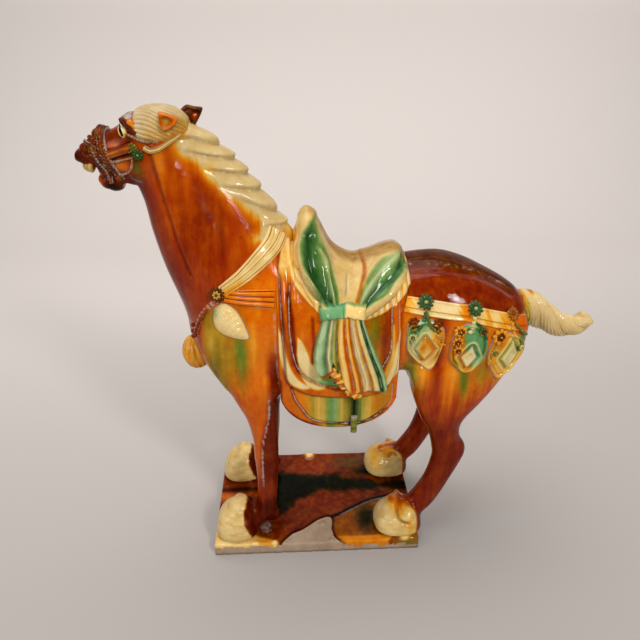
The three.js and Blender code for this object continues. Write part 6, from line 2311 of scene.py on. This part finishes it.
face, back = press_slab(columns=168, rows=112)
plinth = make_piece("plinth_slab", *gather([(face, back, glaze_slab(*np.moveaxis(face, 2, 0)))]))
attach(plinth, "root")
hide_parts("plinth")

# %% [markdown]
# ## Floor and light
#
# A glaze shows its gloss by what it mirrors, so the lamps are soft sheets of light: a small
# bright one for the window's glint, a wide one overhead and weaker ones around. The floor
# turns up behind the figure in a wide curve, which leaves no line where it meets a wall.

# %% A pale floor and soft studio light
def lay_cloth():
    """One sheet that lies under the figure and rises behind it in a wide curve."""
    finish = bpy.data.materials.new("pale cloth")
    finish.use_nodes = True
    skin = finish.node_tree.nodes["Principled BSDF"]
    skin.inputs["Base Color"].default_value = (0.34, 0.312, 0.294, 1)
    skin.inputs["Roughness"].default_value = 0.95
    turn = np.linspace(0, math.pi / 2, 25)
    y = np.concatenate([[-4, 0], 0.75 + 0.45 * np.sin(turn), [1.2]])
    z = np.concatenate([[0, 0], 0.45 * (1 - np.cos(turn)), [4]])
    rows = [[(x, a, b) for x in (-5, 5)] for a, b in zip(y, z)]
    points = [point for row in rows for point in row]
    faces = [(2 * k, 2 * k + 1, 2 * k + 3, 2 * k + 2) for k in range(len(rows) - 1)]
    mesh = bpy.data.meshes.new("cloth")
    mesh.from_pydata(points, [], faces)
    mesh.shade_smooth()
    mesh.materials.append(finish)
    placed("cloth", mesh)


def soft_light(name, place, target, size, power, tint):
    lamp = bpy.data.lights.new(name, "AREA")
    lamp.shape = "RECTANGLE"
    lamp.size, lamp.size_y = size
    lamp.energy = power
    lamp.color = tint
    holder = placed(name, lamp)
    holder.location = place
    holder.visible_camera = False
    holder.rotation_euler = (Vector(target) - Vector(place)).to_track_quat("-Z", "Y").to_euler()


lay_cloth()
# Each lamp: its place, the point that it faces, its size, power and tint.
LAMPS = {
    "window": ((0.75, -1.15, 1.25), (0, 0, 0.2), (0.24, 0.34), 17, (1, 0.985, 0.96)),
    "door": ((-0.33, -1.5, 0.88), (0, 0, 0.25), (0.32, 0.42), 9, (1, 0.99, 0.98)),
    "ceiling": ((-0.3, 0.2, 2.1), (0, 0, 0.1), (1.9, 1.5), 33, (1, 0.99, 0.97)),
    "backdrop": ((0.1, 0.5, 0.85), (0, 1.2, 0.15), (2.4, 0.4), 18, (1, 0.98, 0.97)),
    "left": ((-1.5, -0.9, 0.8), (0, 0, 0.2), (0.9, 1.1), 8, (0.96, 0.98, 1)),
}
for name, setting in LAMPS.items():
    soft_light(name, *setting)
world = bpy.data.worlds.new("room")
world.use_nodes = True
world.node_tree.nodes["Background"].inputs["Color"].default_value = (0.62, 0.60, 0.59, 1)
world.node_tree.nodes["Background"].inputs["Strength"].default_value = 0.19
bpy.context.scene.world = world
bpy.context.scene.view_settings.view_transform = "Standard"
